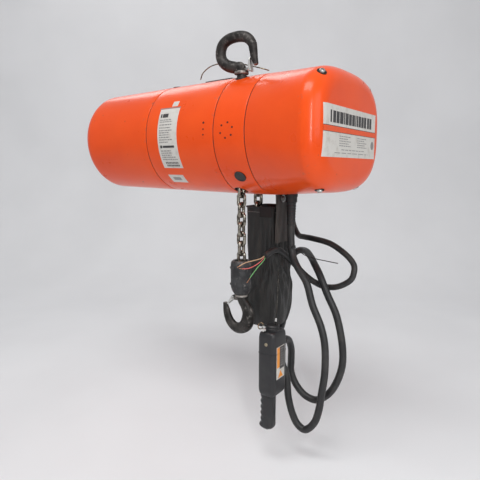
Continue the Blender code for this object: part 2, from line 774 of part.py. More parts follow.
def make_load_hook():
    bm = bmesh.new()
    tube(bm, LOAD_HOOK_PATH, LOAD_HOOK_RADII, 12, flat=0.82)
    hook = finish("load_hook", bm, forged())
    lug_on(hook, "load_lug", LOAD_LATCH_PIVOT, (-0.0033, -0.0040, -0.0033), (0.0190, 0.0040, 0.0033))
    bm = bmesh.new()
    profile = [(0, 0.0118), (0, 0.0160), (0.0100, 0.0160), (0.0100, 0.0118)]
    lathe(bm, (0, 0, -0.5090), (0, 0, 1), profile, 8, closed=True)
    nut = finish("load_hook_nut", bm, steel())
    bm = bmesh.new()
    profile = [(0, 0.0112), (0, 0.0160), (0.0050, 0.0160), (0.0050, 0.0112)]
    lathe(bm, (0, 0, -0.5145), (0, 0, 1), profile, 20, closed=True)
    washer = finish("load_hook_thrust_bearing", bm, steel())
    return hook, nut, washer


# Chain bag


def make_bag():
    """An open-topped bag whose +X wall runs on up to the frame's lug."""
    bm = bmesh.new()
    lo, hi = BAG_LO, BAG_HI
    box(bm, lo, hi)
    bag = finish("chain_bag", bm, bag_fabric())
    tool = bmesh.new()
    wall = Vector((BAG_WALL, BAG_WALL, BAG_WALL))
    box(tool, lo + wall, Vector((hi.x - BAG_WALL, hi.y - BAG_WALL, hi.z + 0.02)))
    boolean(bag, cutter("cut_bag_inside", tool))
    bm = bmesh.new()
    box(bm, (0.0523, 0.0540, -0.4200), (0.0548, 0.1180, -0.3130))
    strap = finish("bag_strap", bm, bag_fabric())
    bm = bmesh.new()
    head = [(0, 0.0070), (0.0010, 0.0070), (0.0010, 0.0050), (0.0042, 0.0050)]
    lathe(bm, (0.0551, 0.0830, -0.3220), (1, 0, 0), head, 12)
    finish("bag_bolt", bm, steel())
    return bag, strap


# Pendant


def rounded_outline(lo, hi, radius, z, steps=3):
    """A rounded rectangle at height z."""
    points = []
    corners = [(hi.x - radius, hi.y - radius, 0), (lo.x + radius, hi.y - radius, 90),
               (lo.x + radius, lo.y + radius, 180), (hi.x - radius, lo.y + radius, 270)]
    for x, y, start in corners:
        for k in range(steps + 1):
            a = radians(start + 90 * k / steps)
            points.append(Vector((x + radius * cos(a), y + radius * sin(a), z)))
    return points


def grip_sections():
    """Half widths of the grip from the head down, with finger ridges on the -X side."""
    rows = []
    ridge = 0.0016
    count = 18
    for k in range(count + 1):
        t = k / count
        z = HEAD_LO.z - 0.0003 - 0.0800 * t
        bump = ridge * sin(2 * pi * t * 5) if t < 0.8 else 0.0045 * sin(pi * (t - 0.8) / 0.2)
        shrink = 0.0060 * max(0.0, (t - 0.9) / 0.1) ** 2
        rows.append((z, bump, shrink))
    return rows


def make_pendant():
    shell = plastic((0.035, 0.035, 0.04), "pendant moulding")
    lo, hi = HEAD_LO, HEAD_HI
    middle = (lo.x + hi.x) / 2
    bm = bmesh.new()
    rows = [
        (lo.z, 0.0060), (lo.z + 0.0120, 0.0010), (lo.z + 0.0400, 0), (hi.z - 0.0160, 0),
        (hi.z - 0.0040, 0.0030), (hi.z, 0.0070),
    ]
    rings = []
    for z, inset in rows:
        a = Vector((lo.x + inset, lo.y + inset, 0))
        b = Vector((hi.x - inset, hi.y - inset, 0))
        rings.append(rounded_outline(a, b, 0.0100, z))
    loft(bm, rings)
    head = finish("pendant_head", bm, shell)
    for name, z0, z1 in PADDLES:
        tool = bmesh.new()
        low = (lo.x - 0.0100, PADDLE_Y[0] - 0.0012, z0 - 0.0012)
        box(tool, low, (lo.x + 0.0060, PADDLE_Y[1] + 0.0012, z1 + 0.0012))
        boolean(head, cutter("cut_" + name, tool))
    bm = bmesh.new()
    rings = []
    for z, bump, shrink in reversed(grip_sections()):
        a = Vector((0.0640 - bump + shrink, -0.0260 + shrink, 0))
        b = Vector((0.0930 - shrink, 0.0040 - shrink, 0))
        rings.append(rounded_outline(a, b, 0.0110, z))
    loft(bm, rings)
    finish("pendant_grip", bm, shell)
    bm = bmesh.new()
    collar = [(0, 0.0150), (0.0060, 0.0150), (0.0110, 0.0125)]
    lathe(bm, (middle, -0.0070, hi.z + GAP), (0, 0, 1), collar, 16)
    finish("pendant_top_collar", bm, black_rubber())
    bm = bmesh.new()
    boot = [(0, 0.0130), (0.0090, 0.0115), (0.0152, 0.0100)]
    lathe(bm, (INLET.x, hi.y + GAP, INLET.z), (0, 1, 0), boot, 16)
    finish("pendant_inlet_boot", bm, black_rubber())
    bm = bmesh.new()
    screw = [(0, 0.0035), (0.0014, 0.0035), (0.0022, 0.0024)]
    lathe(bm, (0.0860, lo.y - GAP, -0.6180), (0, -1, 0), screw, 10)
    finish("pendant_screw", bm, steel())


INLET = Vector((0.0850, 0.0210, -0.6300))
PADDLE_Y = (-0.0220, 0.0080)
PADDLES = [("up_paddle", -0.6560, -0.6120), ("down_paddle", -0.7160, -0.6680)]


def make_paddles():
    """Two sprung rocker paddles on the -X side, each hinged at its edge near the other."""
    for name, z0, z1 in PADDLES:
        hinge_z = z0 + 0.0040 if name == "up_paddle" else z1 - 0.0040
        pivot = (HEAD_LO.x + 0.0020, 0, hinge_z)
        bm = bmesh.new()
        a = Vector((HEAD_LO.x - 0.0020, PADDLE_Y[0], 0))
        b = Vector((HEAD_LO.x + 0.0022, PADDLE_Y[1], 0))
        rings = [
            rounded_outline(a + Vector((0.0012, 0.001, 0)), b - Vector((0, 0.001, 0)), 0.0012, z0, 2),
            rounded_outline(a, b, 0.0018, z0 + 0.0060, 2),
            rounded_outline(a, b, 0.0018, z1 - 0.0060, 2),
            rounded_outline(a + Vector((0.0012, 0.001, 0)), b - Vector((0, 0.001, 0)), 0.0012, z1, 2),
        ]
        loft(bm, rings)
        finish("pendant_" + name, bm, plastic((0.03, 0.03, 0.03), "paddle moulding"), pivot)


# Cords and small parts on them


PENDANT_CABLE_ROUTE = [
    (0.0750, 0.0850, -0.3800), (0.0755, 0.0855, -0.4150), (0.0800, 0.0830, -0.4430),
    (0.0925, 0.0770, -0.4640), (0.1070, 0.0715, -0.4800), (0.1251, 0.0690, -0.5043),
    (0.1410, 0.0655, -0.5480), (0.1641, 0.0600, -0.5897), (0.1765, 0.0560, -0.6309),
    (0.1800, 0.0510, -0.6874), (0.1765, 0.0450, -0.7331), (0.1730, 0.0420, -0.7681),
    (0.1635, 0.0400, -0.8009), (0.1435, 0.0385, -0.8223), (0.1240, 0.0380, -0.8149),
    (0.1105, 0.0370, -0.7908), (0.1015, 0.0360, -0.7578), (0.0985, 0.0360, -0.7300),
    (0.0940, 0.0370, -0.7050), (0.0780, 0.0420, -0.6780), (0.0570, 0.0640, -0.6550),
    (0.0370, 0.1050, -0.6430), (0.0220, 0.1500, -0.6260), (0.0130, 0.1780, -0.5850),
    (0.0110, 0.1820, -0.5250), (0.0170, 0.1840, -0.4830), (0.0400, 0.1830, -0.4560),
    (0.0680, 0.1720, -0.4510), (0.0950, 0.1450, -0.4580), (0.1210, 0.1150, -0.4700),
    (0.1410, 0.0980, -0.4870), (0.1640, 0.0910, -0.5275), (0.1870, 0.0880, -0.5690),
    (0.2020, 0.0850, -0.6210), (0.2065, 0.0830, -0.6650), (0.2010, 0.0800, -0.7000),
    (0.1870, 0.0780, -0.7330), (0.1690, 0.0760, -0.7550), (0.1480, 0.0740, -0.7665),
    (0.1220, 0.0730, -0.7610), (0.1000, 0.0730, -0.7410), (0.0870, 0.0740, -0.7150),
    (0.0850, 0.0770, -0.6900), (0.0850, 0.0765, -0.6620), (0.0850, 0.0650, -0.6390),
    (0.0850, 0.0500, -0.6305), (0.0850, 0.0400, -0.6300),
]
POWER_CORD_ROUTE = [
    (0.0220, 0.1640, -0.3060), (0.0220, 0.1710, -0.3130), (0.0235, 0.1780, -0.3280),
    (0.0250, 0.1800, -0.3600), (0.0300, 0.1800, -0.3900),
    (0.0470, 0.1740, -0.4140), (0.0700, 0.1620, -0.4160), (0.0936, 0.1533, -0.4165),
    (0.1418, 0.1467, -0.4237), (0.1809, 0.1420, -0.4435), (0.2020, 0.1370, -0.4620),
    (0.2070, 0.1300, -0.4790), (0.2000, 0.1260, -0.4980), (0.1740, 0.1210, -0.5140),
    (0.1460, 0.1170, -0.5170), (0.1200, 0.1150, -0.5090), (0.0980, 0.1140, -0.4960),
    (0.0790, 0.1110, -0.4790), (0.0640, 0.1000, -0.4600), (0.0590, 0.0820, -0.4450),
    (0.0585, 0.0620, -0.4350), (0.0565, 0.0450, -0.4330), (0.0530, 0.0290, -0.4370),
    (0.0505, 0.0170, -0.4430),
]
CONDUCTORS = {
    "conductor_red": ((0.75, 0.15, 0.12), [
        (0.0497, 0.0128, -0.4450), (0.0470, 0.0040, -0.4530), (0.0400, -0.0100, -0.4610),
        (0.0330, -0.0220, -0.4650), (0.0250, -0.0330, -0.4650), (0.0190, -0.0370, -0.4645)]),
    "conductor_tan": ((0.65, 0.45, 0.25), [
        (0.0498, 0.0138, -0.4425), (0.0460, 0.0030, -0.4470), (0.0370, -0.0120, -0.4500),
        (0.0280, -0.0250, -0.4530), (0.0210, -0.0345, -0.4580), (0.0165, -0.0390, -0.4620)]),
    "conductor_green": ((0.15, 0.45, 0.12), [
        (0.0522, 0.0132, -0.4456), (0.0515, 0.0060, -0.4530), (0.0450, -0.0040, -0.4640),
        (0.0400, -0.0140, -0.4760), (0.0370, -0.0220, -0.4850), (0.0335, -0.0290, -0.4950)]),
}
STRAIN_WIRE_ROUTE = [
    (0.0920, -0.0070, -0.5808), (0.0905, -0.0040, -0.5700), (0.0860, 0.0080, -0.5400),
    (0.0760, 0.0300, -0.5000), (0.0660, 0.0480, -0.4750),
]
TOP_WIRE_ROUTE = [
    (-0.1250, 0.0200, -0.0590), (-0.1170, 0.0200, -0.0450), (-0.0923, 0.0200, -0.0330),
    (-0.0569, 0.0220, -0.0310), (-0.0176, 0.0280, -0.0370), (0.0152, 0.0280, -0.0460),
    (0.0372, 0.0230, -0.0530), (0.0540, 0.0200, -0.0590),
]


def make_cords():
    cord("pendant_cable", PENDANT_CABLE_ROUTE, CABLE_R, black_rubber(), CABLE_STEP)
    cord("power_cord", POWER_CORD_ROUTE, POWER_R, black_rubber(), CABLE_STEP)
    for name, (colour, route) in CONDUCTORS.items():
        cord(name, route, 0.0009, plastic(colour, name), 3)
    cord("strain_wire", STRAIN_WIRE_ROUTE, 0.0011, steel(), 4)
    cord("top_wire", TOP_WIRE_ROUTE, 0.0014, chain_steel(), 4)


def make_glands():
    bm = bmesh.new()
    profile = [(0, 0.0125), (0.0180, 0.0125), (0.0190, 0.0105), (0.0680, 0.0092)]
    lathe(bm, (0.0750, 0.0850, -0.3112), (0, 0, -1), profile, 16)
    finish("pendant_cable_gland", bm, black_rubber())
    bm = bmesh.new()
    out = Vector((0, 1, -1)).normalized()
    start = Vector((0.0220, AXIS_Y, AXIS_Z)) + out * (R_C + 0.0010)
    end = Vector(POWER_CORD_ROUTE[0])
    reach = (end - start).length - 0.0030
    profile = [(0, 0.0120), (0.0130, 0.0120), (0.0135, 0.0100), (reach, 0.0085)]
    lathe(bm, start, end - start, profile, 16)
    finish("power_cord_gland", bm, black_rubber())


def make_tie():
    """A nylon band round the pendant cable."""
    route = smooth_route(PENDANT_CABLE_ROUTE, CABLE_STEP * 2 * CABLE_R)
    at = (route[1] + route[2]) / 2
    along = (route[2] - route[1]).normalized()
    inner, outer = CABLE_R + 0.0006, CABLE_R + 0.0020
    profile = [(0, inner), (0, outer), (0.0045, outer), (0.0045, inner)]
    bm = bmesh.new()
    lathe(bm, at - along * 0.00225, along, profile, 16, closed=True)
    finish("cable_tie", bm, black_rubber())


def main():
    clear_scene()
    make_motor_cover()
    make_gear_housing()
    make_frame()
    make_control_cover()
    make_cover_screws()
    make_frame_plug()
    make_upper_hook()
    upper_latch = make_latch("upper_latch", UPPER_LATCH_PIVOT, (0.0165, 0, -0.0348), steel())
    hang_on(joint_empty("upper_latch_axis", UPPER_LATCH_PIVOT), upper_latch[0])
    lift = joint_empty("lift_axis", (0, 0, 0))
    load_chain = make_chain()
    make_stored_chain()
    driven, lay, to_lay_fast = make_gears()
    wheel = make_lift_wheel()
    hang_on(joint_empty("wheel_axis", (0, WHEEL_R, AXIS_Z)), wheel, driven)
    hang_on(joint_empty("layshaft_axis", (0, LAY_Y, LAY_Z)), lay)
    rotor = make_motor(to_lay_fast)
    brake = make_motor_parts()
    make_bearings()
    hang_on(joint_empty("motor_axis", (0, AXIS_Y, AXIS_Z)), rotor, brake)
    make_controls()
    hang_on(lift, load_chain, *make_load_block())
    hook_parts = make_load_hook()
    hang_on(joint_empty("load_hook_axis", (0, 0, BLOCK_BOTTOM)), *hook_parts)
    load_latch = make_latch("load_latch", LOAD_LATCH_PIVOT, (-0.0315, 0, -0.5605), steel())
    hang_on(joint_empty("load_latch_axis", LOAD_LATCH_PIVOT), load_latch[0])
    make_bag()
    make_pendant()
    make_paddles()
    make_glands()
    make_cords()
    make_tie()


main()
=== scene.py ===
from math import atan2, cos, degrees, exp, pi, radians, sin, sqrt

import bmesh
import bpy
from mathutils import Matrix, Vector, noise


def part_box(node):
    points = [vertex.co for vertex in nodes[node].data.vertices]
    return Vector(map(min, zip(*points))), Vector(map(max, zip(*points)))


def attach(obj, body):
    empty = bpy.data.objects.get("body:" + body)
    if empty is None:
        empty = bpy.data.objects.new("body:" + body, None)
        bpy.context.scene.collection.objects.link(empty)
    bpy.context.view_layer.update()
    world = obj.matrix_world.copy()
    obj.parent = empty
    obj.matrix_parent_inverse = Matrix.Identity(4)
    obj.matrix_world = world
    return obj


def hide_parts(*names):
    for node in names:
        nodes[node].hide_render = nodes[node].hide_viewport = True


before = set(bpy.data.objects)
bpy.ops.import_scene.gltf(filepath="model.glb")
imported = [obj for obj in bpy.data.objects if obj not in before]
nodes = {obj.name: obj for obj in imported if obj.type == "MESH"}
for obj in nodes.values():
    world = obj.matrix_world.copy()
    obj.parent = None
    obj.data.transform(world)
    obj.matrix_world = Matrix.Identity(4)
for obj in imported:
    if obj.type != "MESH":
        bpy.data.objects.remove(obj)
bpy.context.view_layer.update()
print("frame loaded:", len(nodes), "nodes")


# Camera

camera = {"place": (0.582, -0.8505, -0.2599), "turn": 34.56, "rise": 8.28, "lens": 36.0}


def makeCamera():
    data = bpy.data.cameras.new("camera")
    data.lens = camera["lens"]
    data.sensor_width = 36.0
    obj = bpy.data.objects.new("camera", data)
    bpy.context.scene.collection.objects.link(obj)
    a, e = radians(camera["turn"]), radians(camera["rise"])
    back = Vector((sin(a) * cos(e), -cos(a) * cos(e), sin(e)))
    obj.rotation_euler = back.to_track_quat("Z", "Y").to_euler()
    obj.location = camera["place"]
    bpy.context.scene.camera = obj


makeCamera()
print("camera placed")


# Shader helpers


def newGroup(name, inputs, outputs):
    group = bpy.data.node_groups.new(name, "ShaderNodeTree")
    for label, value in inputs.items():
        socket = group.interface.new_socket(label, in_out="INPUT", socket_type="NodeSocketFloat")
        socket.default_value = value
    for label in outputs:
        group.interface.new_socket(label, in_out="OUTPUT", socket_type="NodeSocketFloat")
    return group, group.nodes.new("NodeGroupInput"), group.nodes.new("NodeGroupOutput")


def noiseNode(tree, scale, detail=4.0, rough=0.6, vector=None, stretch=None):
    node = tree.nodes.new("ShaderNodeTexNoise")
    node.inputs["Scale"].default_value = scale
    node.inputs["Detail"].default_value = detail
    node.inputs["Roughness"].default_value = rough
    source = vector
    if source is None:
        source = tree.nodes.new("ShaderNodeTexCoord").outputs["Object"]
    if stretch:
        mapping = tree.nodes.new("ShaderNodeMapping")
        mapping.inputs["Scale"].default_value = stretch
        tree.links.new(source, mapping.inputs["Vector"])
        source = mapping.outputs["Vector"]
    tree.links.new(source, node.inputs["Vector"])
    return node.outputs["Fac"]


def rampNode(tree, source, low, high, dark=0.0, light=1.0):
    node = tree.nodes.new("ShaderNodeMapRange")
    node.interpolation_type = "SMOOTHSTEP"
    node.inputs["From Min"].default_value = low
    node.inputs["From Max"].default_value = high
    node.inputs["To Min"].default_value = dark
    node.inputs["To Max"].default_value = light
    tree.links.new(source, node.inputs["Value"])
    return node.outputs["Result"]


def mathNode(tree, operation, a, b):
    node = tree.nodes.new("ShaderNodeMath")
    node.operation = operation
    for socket, value in ((node.inputs[0], a), (node.inputs[1], b)):
        if isinstance(value, (int, float)):
            socket.default_value = value
        else:
            tree.links.new(value, socket)
    return node.outputs[0]


def times(tree, a, b):
    return mathNode(tree, "MULTIPLY", a, b)


def plus(tree, a, b):
    return mathNode(tree, "ADD", a, b)


def mixColour(tree, factor, a, b):
    node = tree.nodes.new("ShaderNodeMix")
    node.data_type = "RGBA"
    if isinstance(factor, (int, float)):
        node.inputs["Factor"].default_value = factor
    else:
        tree.links.new(factor, node.inputs["Factor"])
    for label, value in (("A", a), ("B", b)):
        socket = [s for s in node.inputs if s.name == label and s.type == "RGBA"][0]
        if isinstance(value, tuple):
            socket.default_value = (*value, 1.0)
        else:
            tree.links.new(value, socket)
    return [s for s in node.outputs if s.type == "RGBA"][0]


def buildScuffs():
    group, start, end = newGroup("scuffs", {"Scale": 30.0, "Amount": 0.5},
        ("Scratches", "Specks", "Clouds"))
    where = group.nodes.new("ShaderNodeTexCoord").outputs["Object"]
    fine = noiseNode(group, 1.0, 6, 0.7, where, (38.0, 150.0, 46.0))
    patch = noiseNode(group, 9.0, 3, 0.5, where)
    lines = rampNode(group, fine, 0.66, 0.72)
    region = rampNode(group, patch, 0.50, 0.62)
    scratch = times(group, lines, region)
    group.links.new(times(group, scratch, start.outputs["Amount"]), end.inputs["Scratches"])
    dots = group.nodes.new("ShaderNodeTexVoronoi")
    group.links.new(where, dots.inputs["Vector"])
    group.links.new(times(group, start.outputs["Scale"], 3.0), dots.inputs["Scale"])
    near = rampNode(group, dots.outputs["Distance"], 0.05, 0.11, 1.0, 0.0)
    some = rampNode(group, noiseNode(group, 25.0, 2, 0.5, where), 0.56, 0.62)
    speck = times(group, near, some)
    group.links.new(times(group, speck, start.outputs["Amount"]), end.inputs["Specks"])
    clouds = group.nodes.new("ShaderNodeTexNoise")
    clouds.inputs["Detail"].default_value = 5
    group.links.new(where, clouds.inputs["Vector"])
    group.links.new(start.outputs["Scale"], clouds.inputs["Scale"])
    group.links.new(clouds.outputs["Fac"], end.inputs["Clouds"])
    return group


def buildWeave():
    group, start, end = newGroup("weave", {"Threads": 900.0}, ("Height",))
    where = group.nodes.new("ShaderNodeTexCoord").outputs["Object"]
    split = group.nodes.new("ShaderNodeSeparateXYZ")
    group.links.new(where, split.inputs[0])
    across = plus(group, split.outputs["X"], split.outputs["Y"])
    a = mathNode(group, "SINE", times(group, across, start.outputs["Threads"]), 0.0)
    b = mathNode(group, "SINE", times(group, split.outputs["Z"], start.outputs["Threads"]), 0.0)
    group.links.new(times(group, a, b), end.inputs["Height"])
    return group


def buildWear():
    group, start, end = newGroup("edge wear", {"Low": 0.52, "High": 0.60, "Scale": 120.0}, ("Mask",))
    bend = group.nodes.new("ShaderNodeNewGeometry").outputs["Pointiness"]
    where = group.nodes.new("ShaderNodeTexCoord").outputs["Object"]
    rough = group.nodes.new("ShaderNodeTexNoise")
    rough.inputs["Detail"].default_value = 5
    group.links.new(where, rough.inputs["Vector"])
    group.links.new(start.outputs["Scale"], rough.inputs["Scale"])
    shift = times(group, mathNode(group, "SUBTRACT", rough.outputs["Fac"], 0.5), 0.16)
    summed = plus(group, bend, shift)
    node = group.nodes.new("ShaderNodeMapRange")
    group.links.new(summed, node.inputs["Value"])
    group.links.new(start.outputs["Low"], node.inputs["From Min"])
    group.links.new(start.outputs["High"], node.inputs["From Max"])
    group.links.new(node.outputs["Result"], end.inputs["Mask"])
    return group


scuffs = buildScuffs()
weave = buildWeave()
wear = buildWear()


def addGroup(tree, group, **values):
    node = tree.nodes.new("ShaderNodeGroup")
    node.node_tree = group
    for label, value in values.items():
        node.inputs[label].default_value = value
    return node


def newMaterial(name, rough=0.5, metal=0.0, coat=0.0):
    mat = bpy.data.materials.new(name)
    mat.use_nodes = True
    shader = mat.node_tree.nodes["Principled BSDF"]
    shader.inputs["Roughness"].default_value = rough
    shader.inputs["Metallic"].default_value = metal
    shader.inputs["Coat Weight"].default_value = coat
    return mat, mat.node_tree, shader


def addBump(tree, shader, height, strength, distance):
    bump = tree.nodes.new("ShaderNodeBump")
    bump.inputs["Strength"].default_value = strength
    bump.inputs["Distance"].default_value = distance
    tree.links.new(height, bump.inputs["Height"])
    tree.links.new(bump.outputs["Normal"], shader.inputs["Normal"])


def paintMaterial():
    mat, tree, shader = newMaterial("orange enamel", 0.28, 0.0, 0.22)
    shader.inputs["Coat Roughness"].default_value = 0.10
    shader.inputs["Specular IOR Level"].default_value = 0.22
    marks = addGroup(tree, scuffs, Scale=14.0, Amount=0.85)
    worn = addGroup(tree, wear, Low=0.535, High=0.60, Scale=90.0)
    base = mixColour(tree, marks.outputs["Clouds"], (0.72, 0.058, 0.003), (0.88, 0.088, 0.006))
    faded = rampNode(tree, noiseNode(tree, 3.2, 3, 0.5), 0.45, 0.75, 0.0, 0.35)
    base = mixColour(tree, faded, base, (0.84, 0.115, 0.012))
    base = mixColour(tree, times(tree, marks.outputs["Scratches"], 0.55), base, (0.88, 0.36, 0.20))
    base = mixColour(tree, marks.outputs["Specks"], base, (0.10, 0.05, 0.035))
    base = mixColour(tree, worn.outputs["Mask"], base, (0.22, 0.12, 0.09))
    tree.links.new(base, shader.inputs["Base Color"])
    rough = plus(tree, 0.22, times(tree, marks.outputs["Clouds"], 0.16))
    rough = plus(tree, rough, times(tree, marks.outputs["Scratches"], 0.25))
    tree.links.new(rough, shader.inputs["Roughness"])
    peel = noiseNode(tree, 420.0, 2, 0.5)
    addBump(tree, shader, peel, 0.06, 0.0004)
    return mat


def metalMaterial(name, dark, light, rough, metal, bright, grain=260.0, bump=0.25, low=0.53):
    mat, tree, shader = newMaterial(name, rough, metal)
    marks = addGroup(tree, scuffs, Scale=60.0, Amount=0.8)
    worn = addGroup(tree, wear, Low=low, High=low + 0.08, Scale=140.0)
    base = mixColour(tree, rampNode(tree, marks.outputs["Clouds"], 0.35, 0.68), dark, light)
    base = mixColour(tree, worn.outputs["Mask"], base, bright)
    base = mixColour(tree, times(tree, marks.outputs["Scratches"], 0.6), base, bright)
    tree.links.new(base, shader.inputs["Base Color"])
    spread = times(tree, marks.outputs["Clouds"], 0.3)
    tree.links.new(plus(tree, rough - 0.15, spread), shader.inputs["Roughness"])
    addBump(tree, shader, noiseNode(tree, grain, 5, 0.65), bump, 0.0006)
    return mat


def rustySteel(name, dark, light, rust, amount):
    mat, tree, shader = newMaterial(name, 0.4, 0.9)
    clouds = noiseNode(tree, 150.0, 5, 0.65)
    base = mixColour(tree, rampNode(tree, clouds, 0.38, 0.62), dark, light)
    rusted = rampNode(tree, noiseNode(tree, 90.0, 6, 0.7), 0.62 - amount, 0.72 - amount)
    base = mixColour(tree, times(tree, rusted, 0.75), base, rust)
    tree.links.new(base, shader.inputs["Base Color"])
    tree.links.new(mathNode(tree, "SUBTRACT", 0.95, times(tree, rusted, 0.6)), shader.inputs["Metallic"])
    tree.links.new(plus(tree, 0.26, times(tree, rusted, 0.4)), shader.inputs["Roughness"])
    addBump(tree, shader, noiseNode(tree, 500.0, 5, 0.7), 0.3, 0.0005)
    return mat


def rubberMaterial(name, dark, dusty, rough, dust=0.35, grain=900.0, bump=0.15):
    mat, tree, shader = newMaterial(name, rough)
    marks = addGroup(tree, scuffs, Scale=35.0, Amount=0.9)
    dusted = rampNode(tree, noiseNode(tree, 22.0, 5, 0.65), 0.42, 0.72, 0.0, dust)
    base = mixColour(tree, dusted, dark, dusty)
    base = mixColour(tree, times(tree, marks.outputs["Scratches"], 0.35), base, dusty)
    tree.links.new(base, shader.inputs["Base Color"])
    tree.links.new(plus(tree, rough - 0.08, times(tree, dusted, 0.5)), shader.inputs["Roughness"])
    addBump(tree, shader, noiseNode(tree, grain, 3, 0.6), bump, 0.0004)
    return mat


def clothMaterial(name, dark, light, dust, dustAndLightAmount, threads):
    mat, tree, shader = newMaterial(name, 0.62)
    cloth = addGroup(tree, weave, Threads=threads)
    clouds = noiseNode(tree, 26.0, 5, 0.6)
    base = mixColour(tree, rampNode(tree, clouds, 0.35, 0.7), dark, light)
    # streaks toward the dust colour; for the strap this colour and the lighter base tones also carry
    # painted light
    grain = noiseNode(tree, 1.0, 5, 0.6, None, (45.0, 45.0, 9.0))
    streaks = rampNode(tree, grain, 0.47, 0.70, 0.0, dustAndLightAmount)
    base = mixColour(tree, streaks, base, dust)
    tree.links.new(base, shader.inputs["Base Color"])
    tree.links.new(plus(tree, 0.42, times(tree, clouds, 0.3)), shader.inputs["Roughness"])
    wrinkles = times(tree, noiseNode(tree, 60.0, 4, 0.6), 2.2)
    height = plus(tree, times(tree, cloth.outputs["Height"], 0.25), wrinkles)
    addBump(tree, shader, height, 0.4, 0.0012)
    shader.inputs["Sheen Weight"].default_value = 0.06
    return mat


def plainMaterial(name, colour, rough, stain, stainAmount=0.3, metal=0.0, scale=60.0):
    mat, tree, shader = newMaterial(name, rough, metal)
    dirty = rampNode(tree, noiseNode(tree, scale, 5, 0.65), 0.48, 0.72, 0.0, stainAmount)
    tree.links.new(mixColour(tree, dirty, colour, stain), shader.inputs["Base Color"])
    tree.links.new(plus(tree, rough, times(tree, dirty, 0.3)), shader.inputs["Roughness"])
    addBump(tree, shader, noiseNode(tree, scale * 8, 3, 0.5), 0.08, 0.0003)
    return mat


looks = {
    "paint": paintMaterial(),
    "forged": metalMaterial(
        "forged black steel", (0.020, 0.018, 0.017), (0.060, 0.054, 0.050), 0.50, 0.55, (0.42, 0.39, 0.36)),
    "block": metalMaterial(
        "load block casting", (0.022, 0.022, 0.024), (0.05, 0.05, 0.052), 0.55, 0.25, (0.22, 0.21, 0.20)),
    "bright": metalMaterial(
        "machined steel", (0.34, 0.33, 0.32), (0.62, 0.61, 0.59), 0.36, 1.0,
        (0.75, 0.74, 0.72), 400.0, 0.12),
    "latch": metalMaterial(
        "zinc latch sheet", (0.42, 0.42, 0.40), (0.68, 0.68, 0.65), 0.40, 0.9,
        (0.80, 0.80, 0.78), 500.0, 0.1),
    "casting": metalMaterial(
        "grey casting", (0.12, 0.12, 0.125), (0.24, 0.24, 0.25), 0.62, 0.5, (0.4, 0.4, 0.4)),
    "chain": rustySteel(
        "oiled chain steel", (0.10, 0.09, 0.075), (0.42, 0.39, 0.33), (0.16, 0.060, 0.025), 0.06),
    "wire": rustySteel(
        "thin steel wire", (0.10, 0.085, 0.06), (0.34, 0.29, 0.19), (0.22, 0.09, 0.04), 0.12),
    "grimy": rustySteel("grimy wire", (0.03, 0.028, 0.025), (0.07, 0.064, 0.056), (0.05, 0.03, 0.02), 0.05),
    "gear": rustySteel("oiled gear steel", (0.14, 0.13, 0.12), (0.34, 0.33, 0.31), (0.12, 0.07, 0.04), 0.0),
    "rubber": rubberMaterial("cable rubber", (0.014, 0.014, 0.015), (0.10, 0.095, 0.088), 0.50, 0.30),
    "boot": rubberMaterial("moulded rubber", (0.013, 0.013, 0.014), (0.07, 0.066, 0.06), 0.56, 0.25),
    "moulding": rubberMaterial(
        "pendant moulding", (0.016, 0.016, 0.018), (0.066, 0.064, 0.061), 0.46, 0.26, 700.0, 0.25),
    "paddle": rubberMaterial(
        "paddle moulding", (0.012, 0.012, 0.013), (0.05, 0.05, 0.048), 0.40, 0.2, 700.0, 0.2),
    "cloth": clothMaterial(
        "coated bag cloth", (0.009, 0.0088, 0.0085), (0.020, 0.019, 0.018),
        (0.060, 0.054, 0.047), 0.40, 4200.0),
    # strap: lighter base and streak tones are partly dust and partly painted light for the lit right side
    # of the bag
    "strap": clothMaterial(
        "strap webbing dust and painted light", (0.024, 0.020, 0.018), (0.052, 0.044, 0.038),
        (0.11, 0.092, 0.078), 0.55, 3600.0),
    # painted shade: near-black matte sheet standing in for the shaded bag interior at the mouth
    "inside": plainMaterial("bag mouth painted shade", (0.012, 0.009, 0.009), 0.8, (0.04, 0.032, 0.026)),
    "seam": plainMaterial("seam grime", (0.014, 0.008, 0.007), 0.8, (0.04, 0.015, 0.010)),
    "white": plainMaterial("label white", (0.62, 0.60, 0.56), 0.42, (0.30, 0.24, 0.19), 0.30),
    "ink": plainMaterial("label ink", (0.035, 0.033, 0.034), 0.45, (0.16, 0.14, 0.13), 0.25),
    "faint": plainMaterial("faded ink", (0.24, 0.23, 0.225), 0.5, (0.42, 0.39, 0.36), 0.4),
    "band": plainMaterial("label orange", (0.78, 0.085, 0.012), 0.42, (0.45, 0.12, 0.05), 0.25),
    "amber": plainMaterial("label amber", (0.85, 0.30, 0.03), 0.45, (0.4, 0.18, 0.06), 0.25),
    "red": plainMaterial("red jacket", (0.62, 0.12, 0.11), 0.42, (0.30, 0.10, 0.09), 0.3),
    "tan": plainMaterial("tan jacket", (0.52, 0.34, 0.20), 0.45, (0.30, 0.20, 0.12), 0.3),
    "green": plainMaterial("green jacket", (0.13, 0.38, 0.12), 0.42, (0.08, 0.18, 0.06), 0.3),
    "copper": plainMaterial("bare copper", (0.62, 0.30, 0.16), 0.35, (0.25, 0.12, 0.07), 0.4, 1.0),
    "brass": plainMaterial("dull brass", (0.42, 0.36, 0.26), 0.42, (0.20, 0.16, 0.11), 0.5, 0.8),
    "lining": plainMaterial("brake lining", (0.10, 0.085, 0.075), 0.85, (0.18, 0.16, 0.14), 0.5),
    "nylon": plainMaterial("black nylon", (0.018, 0.018, 0.019), 0.45, (0.06, 0.058, 0.055), 0.4),
}
print("materials built:", len(looks))


# Mesh helpers


